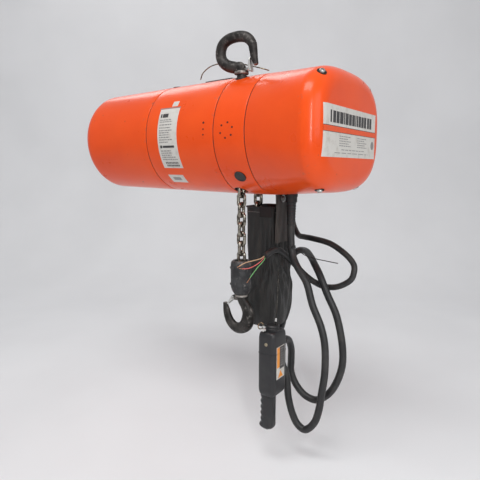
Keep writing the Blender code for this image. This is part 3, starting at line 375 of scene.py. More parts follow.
def addMesh(name, bm, mat, body, smooth=40.0, slots=None):
    bmesh.ops.recalc_face_normals(bm, faces=bm.faces)
    mesh = bpy.data.meshes.new(name)
    bm.to_mesh(mesh)
    bm.free()
    mesh.shade_smooth()
    mesh.set_sharp_from_angle(angle=radians(smooth))
    for each in slots or [mat]:
        mesh.materials.append(each)
    obj = bpy.data.objects.new(name, mesh)
    bpy.context.scene.collection.objects.link(obj)
    if body:
        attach(obj, body)
    return obj


def standIn(node):
    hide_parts(node)


def loft(bm, rings, caps=True, closed=False, slot=0):
    loops = [[bm.verts.new(p) for p in ring] for ring in rings]
    pairs = list(zip(loops, loops[1:])) + ([(loops[-1], loops[0])] if closed else [])
    for a, b in pairs:
        for i in range(len(a)):
            j = (i + 1) % len(a)
            bm.faces.new((a[i], a[j], b[j], b[i])).material_index = slot
    if caps and not closed:
        bm.faces.new(loops[0]).material_index = slot
        bm.faces.new(loops[-1]).material_index = slot
    return loops


def squareAxes(direction):
    d = Vector(direction).normalized()
    helper = Vector((0, 0, 1)) if abs(d.z) < 0.9 else Vector((0, 1, 0))
    u = helper.cross(d).normalized()
    return u, d.cross(u)


def turned(bm, origin, direction, profile, sides=48, caps=True, slot=0):
    d = Vector(direction).normalized()
    u, v = squareAxes(d)
    rings = []
    for along, radius in profile:
        ring = []
        for i in range(sides):
            t = 2 * pi * i / sides
            ring.append(Vector(origin) + d * along + radius * (cos(t) * u + sin(t) * v))
        rings.append(ring)
    return loft(bm, rings, caps, slot=slot)


def curvePoints(points, perSpan=10):
    pts = [Vector(p) for p in points]
    pts = [2 * pts[0] - pts[1], *pts, 2 * pts[-1] - pts[-2]]
    fine = []
    for a, b, c, d in zip(pts, pts[1:], pts[2:], pts[3:]):
        for k in range(perSpan):
            t = k / perSpan
            bend = (2 * a - 5 * b + 4 * c - d) * t**2 + (3 * b - a - 3 * c + d) * t**3
            fine.append(0.5 * (2 * b + (c - a) * t + bend))
    fine.append(pts[-2])
    return fine


def spread(values, perSpan=10):
    return [v.x for v in curvePoints([(v, 0, 0) for v in values], perSpan)]


def swept(bm, path, radii, sides=20, flat=1.0, up=(0, 1, 0), caps=True, slot=0):
    rings = []
    side = Vector(up).normalized()
    for i, p in enumerate(path):
        ahead = (path[min(i + 1, len(path) - 1)] - path[max(i - 1, 0)]).normalized()
        out = side.cross(ahead)
        if out.length < 1e-4:
            out = squareAxes(ahead)[0]
        out.normalize()
        across = ahead.cross(out)
        r = radii[i] if isinstance(radii, list) else radii
        ring = []
        for k in range(sides):
            t = 2 * pi * k / sides
            ring.append(p + r * (cos(t) * out + flat * sin(t) * across))
        rings.append(ring)
    return loft(bm, rings, caps, slot=slot)


def cornerRing(a, b, r, z, corner):
    ring = []
    centres = ((b.x - r, b.y - r), (a.x + r, b.y - r), (a.x + r, a.y + r), (b.x - r, a.y + r))
    for quarter, (cx, cy) in enumerate(centres):
        for k in range(corner + 1):
            t = radians(90 * (quarter + k / corner))
            ring.append(Vector((cx + r * cos(t), cy + r * sin(t), z)))
    return ring


def roundedBox(bm, lo, hi, radius, levels, corner=6):
    rings = []
    for z, inset in levels:
        a = Vector((lo.x + inset, lo.y + inset))
        b = Vector((hi.x - inset, hi.y - inset))
        rings.append(cornerRing(a, b, max(radius - inset * 0.6, 0.0006), z, corner))
    return loft(bm, rings)


def cutAway(obj, tool, smooth):
    cut = obj.modifiers.new("cut", "BOOLEAN")
    cut.object = tool
    cut.solver = "EXACT"
    bpy.context.view_layer.objects.active = obj
    bpy.ops.object.select_all(action="DESELECT")
    obj.select_set(True)
    bpy.ops.object.modifier_apply(modifier=cut.name)
    bpy.data.objects.remove(tool)
    obj.data.shade_smooth()
    obj.data.set_sharp_from_angle(angle=radians(smooth))


# Cords

cableLooks = {"pendantRadius": 0.0080, "powerRadius": 0.0067, "sides": 5}
pendantRoute = [
    (0.0750, 0.0850, -0.3800), (0.0755, 0.0855, -0.4150), (0.0800, 0.0830, -0.4430),
    (0.0925, 0.0770, -0.4640), (0.1070, 0.0715, -0.4800), (0.1251, 0.0690, -0.5043),
    (0.1410, 0.0655, -0.5480), (0.1641, 0.0600, -0.5897), (0.1765, 0.0560, -0.6309),
    (0.1800, 0.0510, -0.6874), (0.1765, 0.0450, -0.7331), (0.1730, 0.0420, -0.7681),
    (0.1635, 0.0400, -0.8009), (0.1435, 0.0385, -0.8223), (0.1240, 0.0380, -0.8149),
    (0.1105, 0.0370, -0.7908), (0.1015, 0.0360, -0.7578), (0.0985, 0.0360, -0.7300),
    (0.0940, 0.0370, -0.7050), (0.0780, 0.0420, -0.6780), (0.0570, 0.0640, -0.6550),
    (0.0370, 0.1050, -0.6430), (0.0220, 0.1500, -0.6260), (0.0130, 0.1780, -0.5850),
    (0.0110, 0.1820, -0.5250), (0.0170, 0.1840, -0.4830), (0.0400, 0.1830, -0.4560),
    (0.0680, 0.1720, -0.4510), (0.0950, 0.1450, -0.4580), (0.1210, 0.1150, -0.4700),
    (0.1410, 0.0980, -0.4870), (0.1640, 0.0910, -0.5275), (0.1870, 0.0880, -0.5690),
    (0.2020, 0.0850, -0.6210), (0.2065, 0.0830, -0.6650), (0.2010, 0.0800, -0.7000),
    (0.1870, 0.0780, -0.7330), (0.1690, 0.0760, -0.7550), (0.1480, 0.0740, -0.7665),
    (0.1220, 0.0730, -0.7610), (0.1000, 0.0730, -0.7410), (0.0870, 0.0740, -0.7150),
    (0.0850, 0.0770, -0.6900), (0.0850, 0.0765, -0.6620), (0.0850, 0.0650, -0.6390),
    (0.0850, 0.0500, -0.6305), (0.0850, 0.0400, -0.6300),
]
powerRoute = [
    (0.0220, 0.1640, -0.3060), (0.0220, 0.1710, -0.3130), (0.0235, 0.1780, -0.3280),
    (0.0250, 0.1800, -0.3600), (0.0300, 0.1800, -0.3900),
    (0.0470, 0.1740, -0.4140), (0.0700, 0.1620, -0.4160), (0.0936, 0.1533, -0.4165),
    (0.1418, 0.1467, -0.4237), (0.1809, 0.1420, -0.4435), (0.2020, 0.1370, -0.4620),
    (0.2070, 0.1300, -0.4790), (0.2000, 0.1260, -0.4980), (0.1740, 0.1210, -0.5140),
    (0.1460, 0.1170, -0.5170), (0.1200, 0.1150, -0.5090), (0.0980, 0.1140, -0.4960),
    (0.0790, 0.1110, -0.4790), (0.0640, 0.1000, -0.4600), (0.0590, 0.0820, -0.4450),
    (0.0585, 0.0620, -0.4350), (0.0565, 0.0450, -0.4330), (0.0530, 0.0290, -0.4370),
    (0.0505, 0.0170, -0.4430),
]
strandRoutes = {
    "conductor_red": ("red", [
        (0.0497, 0.0128, -0.4450), (0.0470, 0.0040, -0.4530), (0.0400, -0.0100, -0.4610),
        (0.0330, -0.0220, -0.4650), (0.0250, -0.0330, -0.4650), (0.0190, -0.0370, -0.4645)]),
    "conductor_tan": ("tan", [
        (0.0498, 0.0138, -0.4425), (0.0460, 0.0030, -0.4470), (0.0370, -0.0120, -0.4500),
        (0.0280, -0.0250, -0.4530), (0.0210, -0.0345, -0.4580), (0.0165, -0.0390, -0.4620)]),
    "conductor_green": ("green", [
        (0.0522, 0.0132, -0.4456), (0.0515, 0.0060, -0.4530), (0.0450, -0.0040, -0.4640),
        (0.0400, -0.0140, -0.4760), (0.0370, -0.0220, -0.4850), (0.0335, -0.0290, -0.4950)]),
}


def cordCurve(name, route, radius, mat, perSpan=6):
    points = curvePoints(route, perSpan)
    curve = bpy.data.curves.new(name, "CURVE")
    curve.dimensions = "3D"
    curve.bevel_depth = radius
    curve.bevel_resolution = cableLooks["sides"]
    curve.use_fill_caps = True
    spline = curve.splines.new("POLY")
    spline.points.add(len(points) - 1)
    for target, p in zip(spline.points, points):
        target.co = (*p, 1)
    spline.use_smooth = True
    curve.materials.append(mat)
    obj = bpy.data.objects.new(name, curve)
    bpy.context.scene.collection.objects.link(obj)
    length = sum((b - a).length for a, b in zip(points, points[1:]))
    return obj, length


def makeCords():
    cable, cableLength = cordCurve("pendantCable", pendantRoute, cableLooks["pendantRadius"],
        looks["rubber"])
    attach(cable, "hoist")
    standIn("pendant_cable")
    power, powerLength = cordCurve("powerCord", powerRoute, cableLooks["powerRadius"], looks["rubber"])
    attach(power, "hoist")
    standIn("power_cord")
    for name, (colour, route) in strandRoutes.items():
        points = curvePoints(route, 6)
        cut = len(points) - 6
        bm = bmesh.new()
        swept(bm, points[:cut], 0.00095, 12, up=(0.3, 0.2, 1))
        swept(bm, points[cut - 1:], 0.00050, 8, up=(0.3, 0.2, 1), slot=1)
        strand = addMesh(name + "Fine", bm, None, "hoist", slots=[looks[colour], looks["copper"]])
        standIn(name)
    print("cords:", round(cableLength, 3), round(powerLength, 3))
    return cable, cableLength


pendantCord, pendantLength = makeCords()


# Barrel

barrel = {
    "axisY": 0.045, "axisZ": -0.187,
    "stations": [(-0.434, 0.1157), (-0.400, 0.1157), (-0.205, 0.1204), (-0.015, 0.1247), (0.060, 0.1250)],
    "endRound": 0.034, "wall": 0.004, "lip": 0.0011, "gap": 0.0009, "sides": 128,
    "faceHalfWidth": 0.158, "faceHalfHeight": 0.1166, "facePower": 3.0, "faceX": 0.230,
    "chainHole": 0.0150, "shankHole": 0.0135,
}
seams = {"places": (-0.205, -0.015, 0.060), "under": 0.0013, "halfWidth": 0.0035, "crown": 0.0008,
    "depth": 0.0030}


def barrelRadius(x):
    for (x0, r0), (x1, r1) in zip(barrel["stations"], barrel["stations"][1:]):
        if x <= x1:
            return r0 + (r1 - r0) * max(0.0, x - x0) / (x1 - x0)
    return barrel["stations"][-1][1]


def onBarrel(x, angle, lift=0.0):
    a = radians(angle)
    r = barrelRadius(x) + lift
    return Vector((x, barrel["axisY"] - r * cos(a), barrel["axisZ"] + r * sin(a)))


def lipProfile(x, radius, side):
    lip = barrel["lip"]
    return [(x - side * lip * (1 - sin(t)), radius - lip * (1 - cos(t)))
        for t in (0.0, 0.4, 0.8, 1.2, pi / 2)]


def shellProfile(x0, x1, roundStart=False):
    points = []
    gap = barrel["gap"]
    wall = barrel["wall"]
    if roundStart:
        r = barrel["endRound"]
        flat = barrelRadius(x0) - r
        points += [(x0, flat * k) for k in (0.02, 0.3, 0.6, 0.85)]
        points += [(x0 + r - r * cos(radians(a)), flat + r * sin(radians(a))) for a in range(0, 91, 9)]
        begin = x0 + r
    else:
        points += lipProfile(x0 + gap, barrelRadius(x0), -1)[::-1]
        begin = x0 + gap + barrel["lip"]
    end = x1 - gap - barrel["lip"]
    steps = 10
    for k in range(1, steps):
        x = begin + (end - begin) * k / steps
        points.append((x, barrelRadius(x)))
    points += lipProfile(x1 - gap, barrelRadius(x1), 1)
    points += [(x1 - gap, barrelRadius(x1) - wall)]
    if roundStart:
        inner = flat + r - wall
        points += [(x0 + r, inner), (x0 + wall, flat - wall), (x0 + wall, 0.002)]
    else:
        points += [(x0 + gap, barrelRadius(x0) - wall)]
    return points


def barrelShell(name, node, x0, x1, roundStart=False):
    bm = bmesh.new()
    d = Vector((1, 0, 0))
    u, v = squareAxes(d)
    rings = []
    for along, radius in shellProfile(x0, x1, roundStart):
        turn = [2 * pi * i / barrel["sides"] for i in range(barrel["sides"])]
        centre = Vector((along, barrel["axisY"], barrel["axisZ"]))
        rings.append([centre + radius * (cos(t) * u + sin(t) * v) for t in turn])
    loft(bm, rings, caps=roundStart, closed=not roundStart)
    obj = addMesh(name, bm, looks["paint"], "hoist")
    standIn(node)
    return obj


def faceRing(x, halfWidth, halfHeight, power, sides):
    ring = []
    for i in range(sides):
        t = 2 * pi * i / sides
        c, s = cos(t), sin(t)
        y = halfWidth * abs(c) ** (2 / power) * (1 if c > 0 else -1)
        z = halfHeight * abs(s) ** (2 / power) * (1 if s > 0 else -1)
        ring.append(Vector((x, barrel["axisY"] + y, barrel["axisZ"] + z)))
    return ring


def makeControlCover():
    bm = bmesh.new()
    sides = 160
    start = barrel["stations"][-1][0] + barrel["gap"]
    radius = barrel["stations"][-1][1]
    mouth = [(start + 0.010, radius - 0.006), (start, radius - 0.004), *lipProfile(start, radius, -1)[::-1]]
    rings = [faceRing(x, r, r, 2, sides) for x, r in mouth]
    first = faceRing(start + barrel["lip"], radius, radius, 2, sides)
    roundR = barrel["endRound"]
    x0 = barrel["faceX"] - roundR
    wide, high, power = barrel["faceHalfWidth"], barrel["faceHalfHeight"], barrel["facePower"]
    last = faceRing(x0, wide, high, power, sides)
    for k in range(1, 15):
        s = k / 15
        rings.append([a.lerp(b, s) for a, b in zip(first, last)])
    for degree in range(0, 91, 6):
        arc = radians(degree)
        inset = roundR * (1 - cos(arc))
        rings.append(faceRing(x0 + roundR * sin(arc), wide - inset, high - inset, power, sides))
    centre = Vector((barrel["faceX"], barrel["axisY"], barrel["axisZ"]))
    edge = rings[-1]
    rings += [[centre.lerp(p, share) for p in edge] for share in (0.985, 0.9, 0.6, 0.25, 0.02)]
    loops = loft(bm, rings, caps=False)
    bm.faces.new(loops[-1])
    obj = addMesh("controlCoverShell", bm, looks["paint"], "hoist")
    solid = obj.modifiers.new("wall", "SOLIDIFY")
    solid.thickness = 0.0012
    solid.offset = -1
    standIn("control_cover")


def endX(y, z):
    roundR = barrel["endRound"]
    dy, dz = abs(y - barrel["axisY"]), abs(z - barrel["axisZ"])
    low, high = 0.0, roundR
    wide, tall, power = barrel["faceHalfWidth"], barrel["faceHalfHeight"], barrel["facePower"]
    for _ in range(30):
        middle = (low + high) / 2
        inside = (dy / (wide - middle)) ** power + (dz / (tall - middle)) ** power
        if inside < 1:
            low = middle
        else:
            high = middle
    return barrel["faceX"] - roundR + roundR * sqrt(max(0.0, 1 - (1 - low / roundR) ** 2))


def patch(bm, place, across, down, slot, thick=0.0003):
    def grid(h):
        rows = []
        for j in range(down + 1):
            rows.append([bm.verts.new(place(i / across, j / down, h)) for i in range(across + 1)])
        return rows

    top, low = grid(thick), grid(-0.0006)
    for side in (top, low):
        for j in range(down):
            for i in range(across):
                quad = (side[j][i], side[j][i + 1], side[j + 1][i + 1], side[j + 1][i])
                bm.faces.new(quad if side is top else quad[::-1]).material_index = slot
    rim = [(0, i) for i in range(across)] + [(j, across) for j in range(down)]
    rim += [(down, i) for i in range(across, 0, -1)] + [(j, 0) for j in range(down, 0, -1)]
    for (a, b), (c, d) in zip(rim, rim[1:] + rim[:1]):
        bm.faces.new((top[a][b], low[a][b], low[c][d], top[c][d])).material_index = slot


def sidePatch(bm, x0, x1, angle0, angle1, slot, thick=0.0003):
    across = max(1, round((x1 - x0) / 0.012))
    down = max(1, round(abs(angle1 - angle0) / 3))

    def place(u, v, h):
        return onBarrel(x0 + (x1 - x0) * u, angle0 + (angle1 - angle0) * v, h)

    patch(bm, place, across, down, slot, thick)


def endPatch(bm, y0, y1, z0, z1, slot, thick=0.0003):
    across = max(1, round((y1 - y0) / 0.006))
    down = max(1, round(abs(z1 - z0) / 0.010))

    def place(u, v, h):
        y, z = y0 + (y1 - y0) * u, z0 + (z1 - z0) * v
        return Vector((endX(y, z) + h, y, z))

    patch(bm, place, across, down, slot, thick)


def makeBarrel():
    barrelShell("motorCoverShell", "motor_cover", -0.434, -0.205, True)
    barrelShell("gearHousingShell", "gear_housing", -0.205, -0.015)
    casting = barrelShell("frameShell", "frame_casting", -0.015, 0.060)
    holes = bmesh.new()
    for y in (0.0, 0.067):
        turned(holes, (0, y, -0.325), (0, 0, 1), [(0, barrel["chainHole"]), (0.045, barrel["chainHole"])],
            40)
    turned(holes, (0, 0, -0.100), (0, 0, 1), [(0, barrel["shankHole"]), (0.060, barrel["shankHole"])], 40)
    cutAway(casting, addMesh("holeTool", holes, looks["seam"], None), 40)
    makeControlCover()
    bm = bmesh.new()
    wide, crown, depth = seams["halfWidth"], seams["crown"], seams["depth"]
    for x in seams["places"]:
        r = barrelRadius(x) - seams["under"]
        profile = [(x - wide, r - depth), (x - wide, r - crown), (x - crown, r)]
        profile += [(x + crown, r), (x + wide, r - crown), (x + wide, r - depth)]
        turned(bm, (0, barrel["axisY"], barrel["axisZ"]), (1, 0, 0), profile, 128, caps=False)
    rings = addMesh("seamGaskets", bm, looks["seam"], "hoist")
    solid = rings.modifiers.new("wall", "SOLIDIFY")
    solid.thickness = 0.0005


makeBarrel()
print("barrel made")


# Marks on the barrel, all generic

marks = {"seed": 11}


def pseudo(i):
    value = sin(i * 12.9898 + marks["seed"]) * 43758.5453
    return value - int(value) if value > 0 else 1 + value - int(value)


def textRows(draw, left, right, rows, slot, ragged=0.35):
    count = 0
    for row in rows:
        end = right - (right - left) * ragged * pseudo(len(rows) * 7 + row[0] * 100)
        at = left
        while at < end:
            count += 1
            word = (right - left) * (0.06 + 0.14 * pseudo(count + row[0] * 31))
            draw(at, min(at + word, end), row[0], row[1], slot)
            at += word + (right - left) * 0.035


def makeRatingLabels():
    slots = [looks["white"], looks["ink"], looks["faint"], looks["band"]]
    bm = bmesh.new()
    sidePatch(bm, -0.169, -0.113, -34, 28, 0)

    def bar(x0, x1, top, low, slot):
        sidePatch(bm, x0, x1, low, top, slot, 0.00045)

    bar(-0.164, -0.160, 22.5, 18.5, 1)
    bar(-0.158, -0.142, 22.5, 18.5, 1)
    rows = [(a, a - 1.1) for a in (16.5, 14.5, 11.5, 8.5, 5.8, 3.6, 1.4, -1.0, -3.4, -5.8)]
    textRows(bar, -0.164, -0.124, rows, 2)
    bar(-0.163, -0.157, -9.5, -12.3, 1)
    bar(-0.155, -0.122, -9.8, -12.0, 1)
    rows = [(a, a - 1.1) for a in (-14.6, -16.8, -19.0, -21.2, -23.6)]
    textRows(bar, -0.163, -0.120, rows, 2)
    for k in range(9):
        bar(-0.158 + 0.0042 * k, -0.158 + 0.0042 * k + 0.0026, -27.0, -29.0, 1)
        bar(-0.157 + 0.0042 * k, -0.157 + 0.0042 * k + 0.0030, -30.0, -32.0, 1)
    sidePatch(bm, -0.170, -0.126, -55, -43, 0)
    sidePatch(bm, -0.160, -0.138, -51, -46.5, 2, 0.00045)
    sidePatch(bm, -0.139, -0.123, 30.5, 36.5, 0)
    sidePatch(bm, -0.172, -0.112, 28.4, 29.3, 2, 0.00045)
    addMesh("ratingLabels", bm, None, "hoist", slots=slots)


def makeCapacityLabel():
    slots = [looks["white"], looks["ink"], looks["faint"], looks["band"]]
    bm = bmesh.new()
    left, right = -0.090, 0.160
    endPatch(bm, left, right, -0.147, -0.237, 0)
    endPatch(bm, left, right, -0.1835, -0.1930, 3, 0.00045)
    endPatch(bm, left, right, -0.1825, -0.1835, 1, 0.00050)
    endPatch(bm, left, right, -0.1930, -0.1938, 1, 0.00050)

    def bar(y0, y1, top, low, slot):
        endPatch(bm, y0, y1, top, low, slot, 0.00045)

    at = -0.066
    for k, width in enumerate((6, 0, 12, 13, 15, 5, 14, 13, 13, 5, 7, 12, 12, 12, 0, 11, 11)):
        if width:
            bar(at, at + width * 0.001, -0.1575 + 0.0010 * pseudo(k), -0.1775, 1)
        at += (width + 2.6) * 0.001
    rows = [(-0.1985 - 0.0042 * k, -0.1985 - 0.0042 * k - 0.0016) for k in range(5)]
    textRows(bar, -0.025, 0.035, rows, 2)
    textRows(bar, 0.062, 0.118, rows, 2)
    textRows(bar, -0.015, 0.100, [(-0.2225, -0.2240)], 2, 0.1)
    textRows(bar, -0.045, 0.125, [(-0.2285, -0.2298)], 2, 0.05)

    def disc(u, v, h):
        a, r = 2 * pi * u, 0.0085 * (0.05 + 0.95 * v)
        y, z = 0.1450 + r * cos(a), -0.2100 + r * sin(a)
        return Vector((endX(y, z) + h, y, z))

    patch(bm, disc, 24, 3, 2, 0.0006)
    addMesh("capacityLabel", bm, None, "hoist", slots=slots)


def stud(bm, at, out, profile, sides=24, slot=0):
    turned(bm, at, out, profile, sides, slot=slot)


def makeSpots():
    bm = bmesh.new()
    spots = [(-0.040, 10, 0.0022), (-0.040, 4, 0.0017), (-0.040, -1, 0.0016)]
    for k in range(6):
        a = radians(60 * k + 20)
        spots.append((0.018 + 0.0150 * cos(a), 2 + degrees(0.0150 * sin(a) / 0.125), 0.0019))
    for x, angle, r in spots:
        at = onBarrel(x, angle, -0.0006)
        out = (onBarrel(x, angle, 1) - onBarrel(x, angle, 0)).normalized()
        stud(bm, at, out, [(0, r), (0.0010, r), (0.0013, r * 0.6)], 16)
    addMesh("plugSpots", bm, looks["seam"], "hoist")
    bm = bmesh.new()
    for x0, x1, a0, a1 in ((-0.2065, -0.198, 78, 90), (-0.206, -0.196, 96, 103)):
        sidePatch(bm, x0, x1, a0, a1, 0, 0.0016)
    sidePatch(bm, -0.118, -0.046, 82.5, 87.5, 0, 0.0026)
    addMesh("topStrip", bm, looks["nylon"], "hoist")


def makePlug():
    bm = bmesh.new()
    out = (onBarrel(0.029, -43, 1) - onBarrel(0.029, -43, 0)).normalized()
    at = onBarrel(0.0290, -43, 0.0)
    stud(bm, at, out, [(0, 0.0128), (0.0016, 0.0128), (0.0026, 0.0122), (0.0028, 0.0105), (0.0018, 0.0095),
        (0.0016, 0.003)], 48)
    plug = addMesh("framePlugCap", bm, looks["boot"], "hoist")
    standIn("frame_plug")


coverScrews = {"cover_screw_top": (129, 30), "cover_screw_bottom": (246, 9)}
rearScrews = [(51, 30), (294, 9)]


def coverEdge(turn, arc):
    back = barrel["endRound"] * (1 - cos(arc))
    x = barrel["faceX"] - barrel["endRound"] + barrel["endRound"] * sin(arc)
    ring = []
    for halfSize, part in ((barrel["faceHalfWidth"], cos(turn)), (barrel["faceHalfHeight"], sin(turn))):
        ring.append((halfSize - back) * abs(part) ** (2 / barrel["facePower"]) * (1 if part > 0 else -1))
    return Vector((x, barrel["axisY"] + ring[0], barrel["axisZ"] + ring[1]))


def coverScrew(bm, recess, turn, arc):
    turn, arc, step = radians(turn), radians(arc), radians(1)
    around = coverEdge(turn + step, arc) - coverEdge(turn - step, arc)
    out = around.cross(coverEdge(turn, arc + step) - coverEdge(turn, arc - step)).normalized()
    if out.x < 0:
        out = -out
    at = coverEdge(turn, arc)
    profile = [(0, 0.0052), (0.0028, 0.0052), (0.0042, 0.0042), (0.0044, 0.0028), (0.0020, 0.0026)]
    stud(bm, at - out * 0.0004, out, profile, 32)
    stud(recess, at - out * 0.0016, out,
        [(0, 0.0090), (0.0018, 0.0088), (0.0022, 0.0078), (0.0014, 0.0056)], 40)


def makeCoverScrews():
    recess = bmesh.new()
    for name, (turn, arc) in coverScrews.items():
        bm = bmesh.new()
        coverScrew(bm, recess, turn, arc)
        screw = addMesh(name + "Head", bm, looks["bright"], "hoist")
        standIn(name)
    bm = bmesh.new()
    for turn, arc in rearScrews:
        coverScrew(bm, recess, turn, arc)
    addMesh("rearCoverScrews", bm, looks["bright"], "hoist")
    addMesh("screwSeats", recess, looks["seam"], "hoist")


makeRatingLabels()
makeCapacityLabel()
makeSpots()
makePlug()
makeCoverScrews()
print("barrel marks made")


# Hooks

upperHook = {
    "path": [
        (0, 0, -0.1180), (0, 0, -0.0560), (-0.0130, 0, -0.0500), (-0.0330, 0, -0.0440),
        (-0.0480, 0, -0.0330), (-0.0530, 0, -0.0170), (-0.0480, 0, -0.0010), (-0.0350, 0, 0.0080),
        (-0.0190, 0, 0.0112), (-0.0020, 0, 0.0110), (0.0140, 0, 0.0060), (0.0255, 0, -0.0060),
        (0.0290, 0, -0.0200), (0.0310, 0, -0.0330), (0.0350, 0, -0.0460),
    ],
    "radii": [
        0.0105, 0.0105, 0.0120, 0.0120, 0.0115, 0.0112, 0.0110, 0.0110,
        0.0110, 0.0110, 0.0105, 0.0095, 0.0085, 0.0075, 0.0055,
    ],
    "flat": 1.0, "pivot": Vector((0.0190, 0, -0.0560)), "tip": Vector((0.0165, 0, -0.0348)),
    "lug": ((-0.0150, -0.0040, -0.0033), (0.0033, 0.0040, 0.0033)),
}
loadHook = {
    "path": [
        (0, 0, -0.5080), (0, 0, -0.5330), (0.0030, 0, -0.5440), (0.0110, 0, -0.5550), (0.0175, 0, -0.5680),
        (0.0180, 0, -0.5830), (0.0120, 0, -0.5980), (-0.0010, 0, -0.6075), (-0.0160, 0, -0.6080),
        (-0.0290, 0, -0.5990), (-0.0370, 0, -0.5850), (-0.0410, 0, -0.5700), (-0.0440, 0, -0.5580),
    ],
    "radii": [
        0.0105, 0.0105, 0.0110, 0.0120, 0.0135, 0.0150, 0.0150, 0.0130, 0.0115,
        0.0105, 0.0095, 0.0080, 0.0055,
    ],
    "flat": 0.82, "pivot": Vector((-0.0190, 0, -0.5420)), "tip": Vector((-0.0315, 0, -0.5605)),
    "lug": ((-0.0033, -0.0040, -0.0033), (0.0190, 0.0040, 0.0033)),
}


def makeHook(name, node, body, shape):
    bm = bmesh.new()
    path = curvePoints(shape["path"], 8)
    radii = spread(shape["radii"], 8)
    last = path[-1]
    ahead = (path[-1] - path[-2]).normalized()
    for k in range(1, 7):
        t = radians(15 * k)
        path.append(last + ahead * radii[-1] * sin(t))
        radii.append(shape["radii"][-1] * max(cos(t), 0.03))
    swept(bm, path, radii, 28, shape["flat"])
    lo, hi = (shape["pivot"] + Vector(v) for v in shape["lug"])
    roundedBox(bm, lo, hi, 0.0020, [(lo.z, 0.0012), (lo.z + 0.0010, 0), (hi.z - 0.0010, 0), (hi.z, 0.0012)])
    hook = addMesh(name, bm, looks["forged"], body)
    standIn(node)


def makeLatch(name, node, pinNode, body, parentBody, shape):
    pivot, tip = shape["pivot"], shape["tip"]
    along = (tip - pivot).normalized()
    up = Vector((0, 1, 0)).cross(along)
    half, sheet, depth, back = 0.0062, 0.0012, 0.0045, 0.0045
    length = (tip - pivot).length + back
    start = pivot - along * back + up * 0.0052
    section = [(-half, -depth), (-half, sheet * 0.2)]
    section += [(-half + 0.0012 * (1 - cos(radians(a))), sheet * 0.2 + 0.0010 * sin(radians(a)))
        for a in (30, 60, 90)]
    section += [(-y, z) for y, z in section[::-1]]
    section += [(half - sheet, -depth), (half - sheet, 0), (sheet - half, 0), (sheet - half, -depth)]
    bm = bmesh.new()
    rings = []
    for k in range(13):
        s = k / 12
        at = start + along * length * s
        wide = 1.0 if s < 0.75 else 1.0 - 0.35 * ((s - 0.75) / 0.25) ** 2
        deep = 1.0 if s < 0.35 else max(0.25, 1.0 - (s - 0.35) * 1.3)
        rings.append([at + Vector((0, y * wide, 0)) + up * (z if z >= 0 else z * deep) for y, z in section])
    loft(bm, rings)
    latch = addMesh(name, bm, looks["latch"], body, 30)
    standIn(node)
    bm = bmesh.new()
    stud(bm, pivot - Vector((0, 0.0078, 0)), (0, 1, 0),
        [(0, 0.0028), (0.0006, 0.0032), (0.0014, 0.0032), (0.0014, 0.0020), (0.0142, 0.0020),
        (0.0142, 0.0032), (0.0150, 0.0032), (0.0156, 0.0026)], 24)
    pin = addMesh(name + "Pin", bm, looks["bright"], parentBody)
    standIn(pinNode)


def makeSuspensionTrim():
    bm = bmesh.new()
    stud(bm, (0, 0, -0.0645), (0, 0, 1),
        [(0, 0.0142), (0.0010, 0.0150), (0.0050, 0.0150), (0.0062, 0.0140), (0.0072, 0.0115),
        (0.0085, 0.0107)], 40)
    addMesh("shankCollar", bm, looks["forged"], "suspension")


makeHook("upperHookForging", "upper_hook", "suspension", upperHook)
makeLatch("upperLatchSheet", "upper_latch", "upper_latch_pin", "upper_latch", "suspension", upperHook)
makeSuspensionTrim()
makeHook("loadHookForging", "load_hook", "load_hook", loadHook)
makeLatch("loadLatchSheet", "load_latch", "load_latch_pin", "load_latch", "load_hook", loadHook)
print("hooks made")


# Chain

chain = {"pitch": 0.021, "wire": 0.00355, "halfWidth": 0.00805, "topZ": -0.187, "slackY": 0.067}


def addLink(bm, centre, along, across):
    straight = chain["pitch"] / 2 + chain["wire"] - chain["halfWidth"]
    normal = along.cross(across).normalized()
    rings = []
    count = 24
    for i in range(count):
        t = 2 * pi * (i + 0.5) / count
        a = chain["halfWidth"] * sin(t)
        a += straight if a > 0 else -straight
        p = centre + along * a + across * chain["halfWidth"] * cos(t)
        out = (along * sin(t) + across * cos(t)).normalized()
        around = [2 * pi * k / 12 for k in range(12)]
        rings.append([p + chain["wire"] * (cos(q) * out + sin(q) * normal) for q in around])
    loft(bm, rings, closed=True)


def makeFall(name, node, body, y, count):
    bm = bmesh.new()
    for k in range(count):
        across = Vector((1, 0, 0)) if k % 2 == 0 else Vector((0, 1, 0))
        addLink(bm, Vector((0, y, chain["topZ"] - chain["pitch"] * (k + 0.5))), Vector((0, 0, 1)), across)
    run = addMesh(name, bm, looks["chain"], body)
    standIn(node)


def makeHeap():
    lo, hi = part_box("stored_chain")
    bm = bmesh.new()
    count = 0
    for layer in range(4):
        for i in range(5):
            for j in range(6):
                count += 1
                a, b, c = (pseudo(count * 3 + m) for m in range(3))
                x = lo.x + 0.014 + (hi.x - lo.x - 0.028) * (i + 0.3 * a) / 4.3
                y = lo.y + 0.014 + (hi.y - lo.y - 0.028) * (j + 0.3 * b) / 5.3
                z = hi.z - 0.004 - 0.010 * layer - 0.004 * c
                along = Vector((cos(6.28 * a), sin(6.28 * a), 0.5 * (b - 0.5))).normalized()
                u, v = squareAxes(along)
                addLink(bm, Vector((x, y, z)), along, u.lerp(v, c).normalized())
    heap = addMesh("chainHeap", bm, looks["chain"], "hoist")
    standIn("stored_chain")


makeFall("loadFall", "load_chain", "load_block", 0.0, 14)
makeFall("slackFall", "slack_chain", "hoist", chain["slackY"], 12)
makeHeap()
print("chain made")


# Load block

block = {"bottom": -0.530, "radius": 0.0236, "gap": 0.0006}


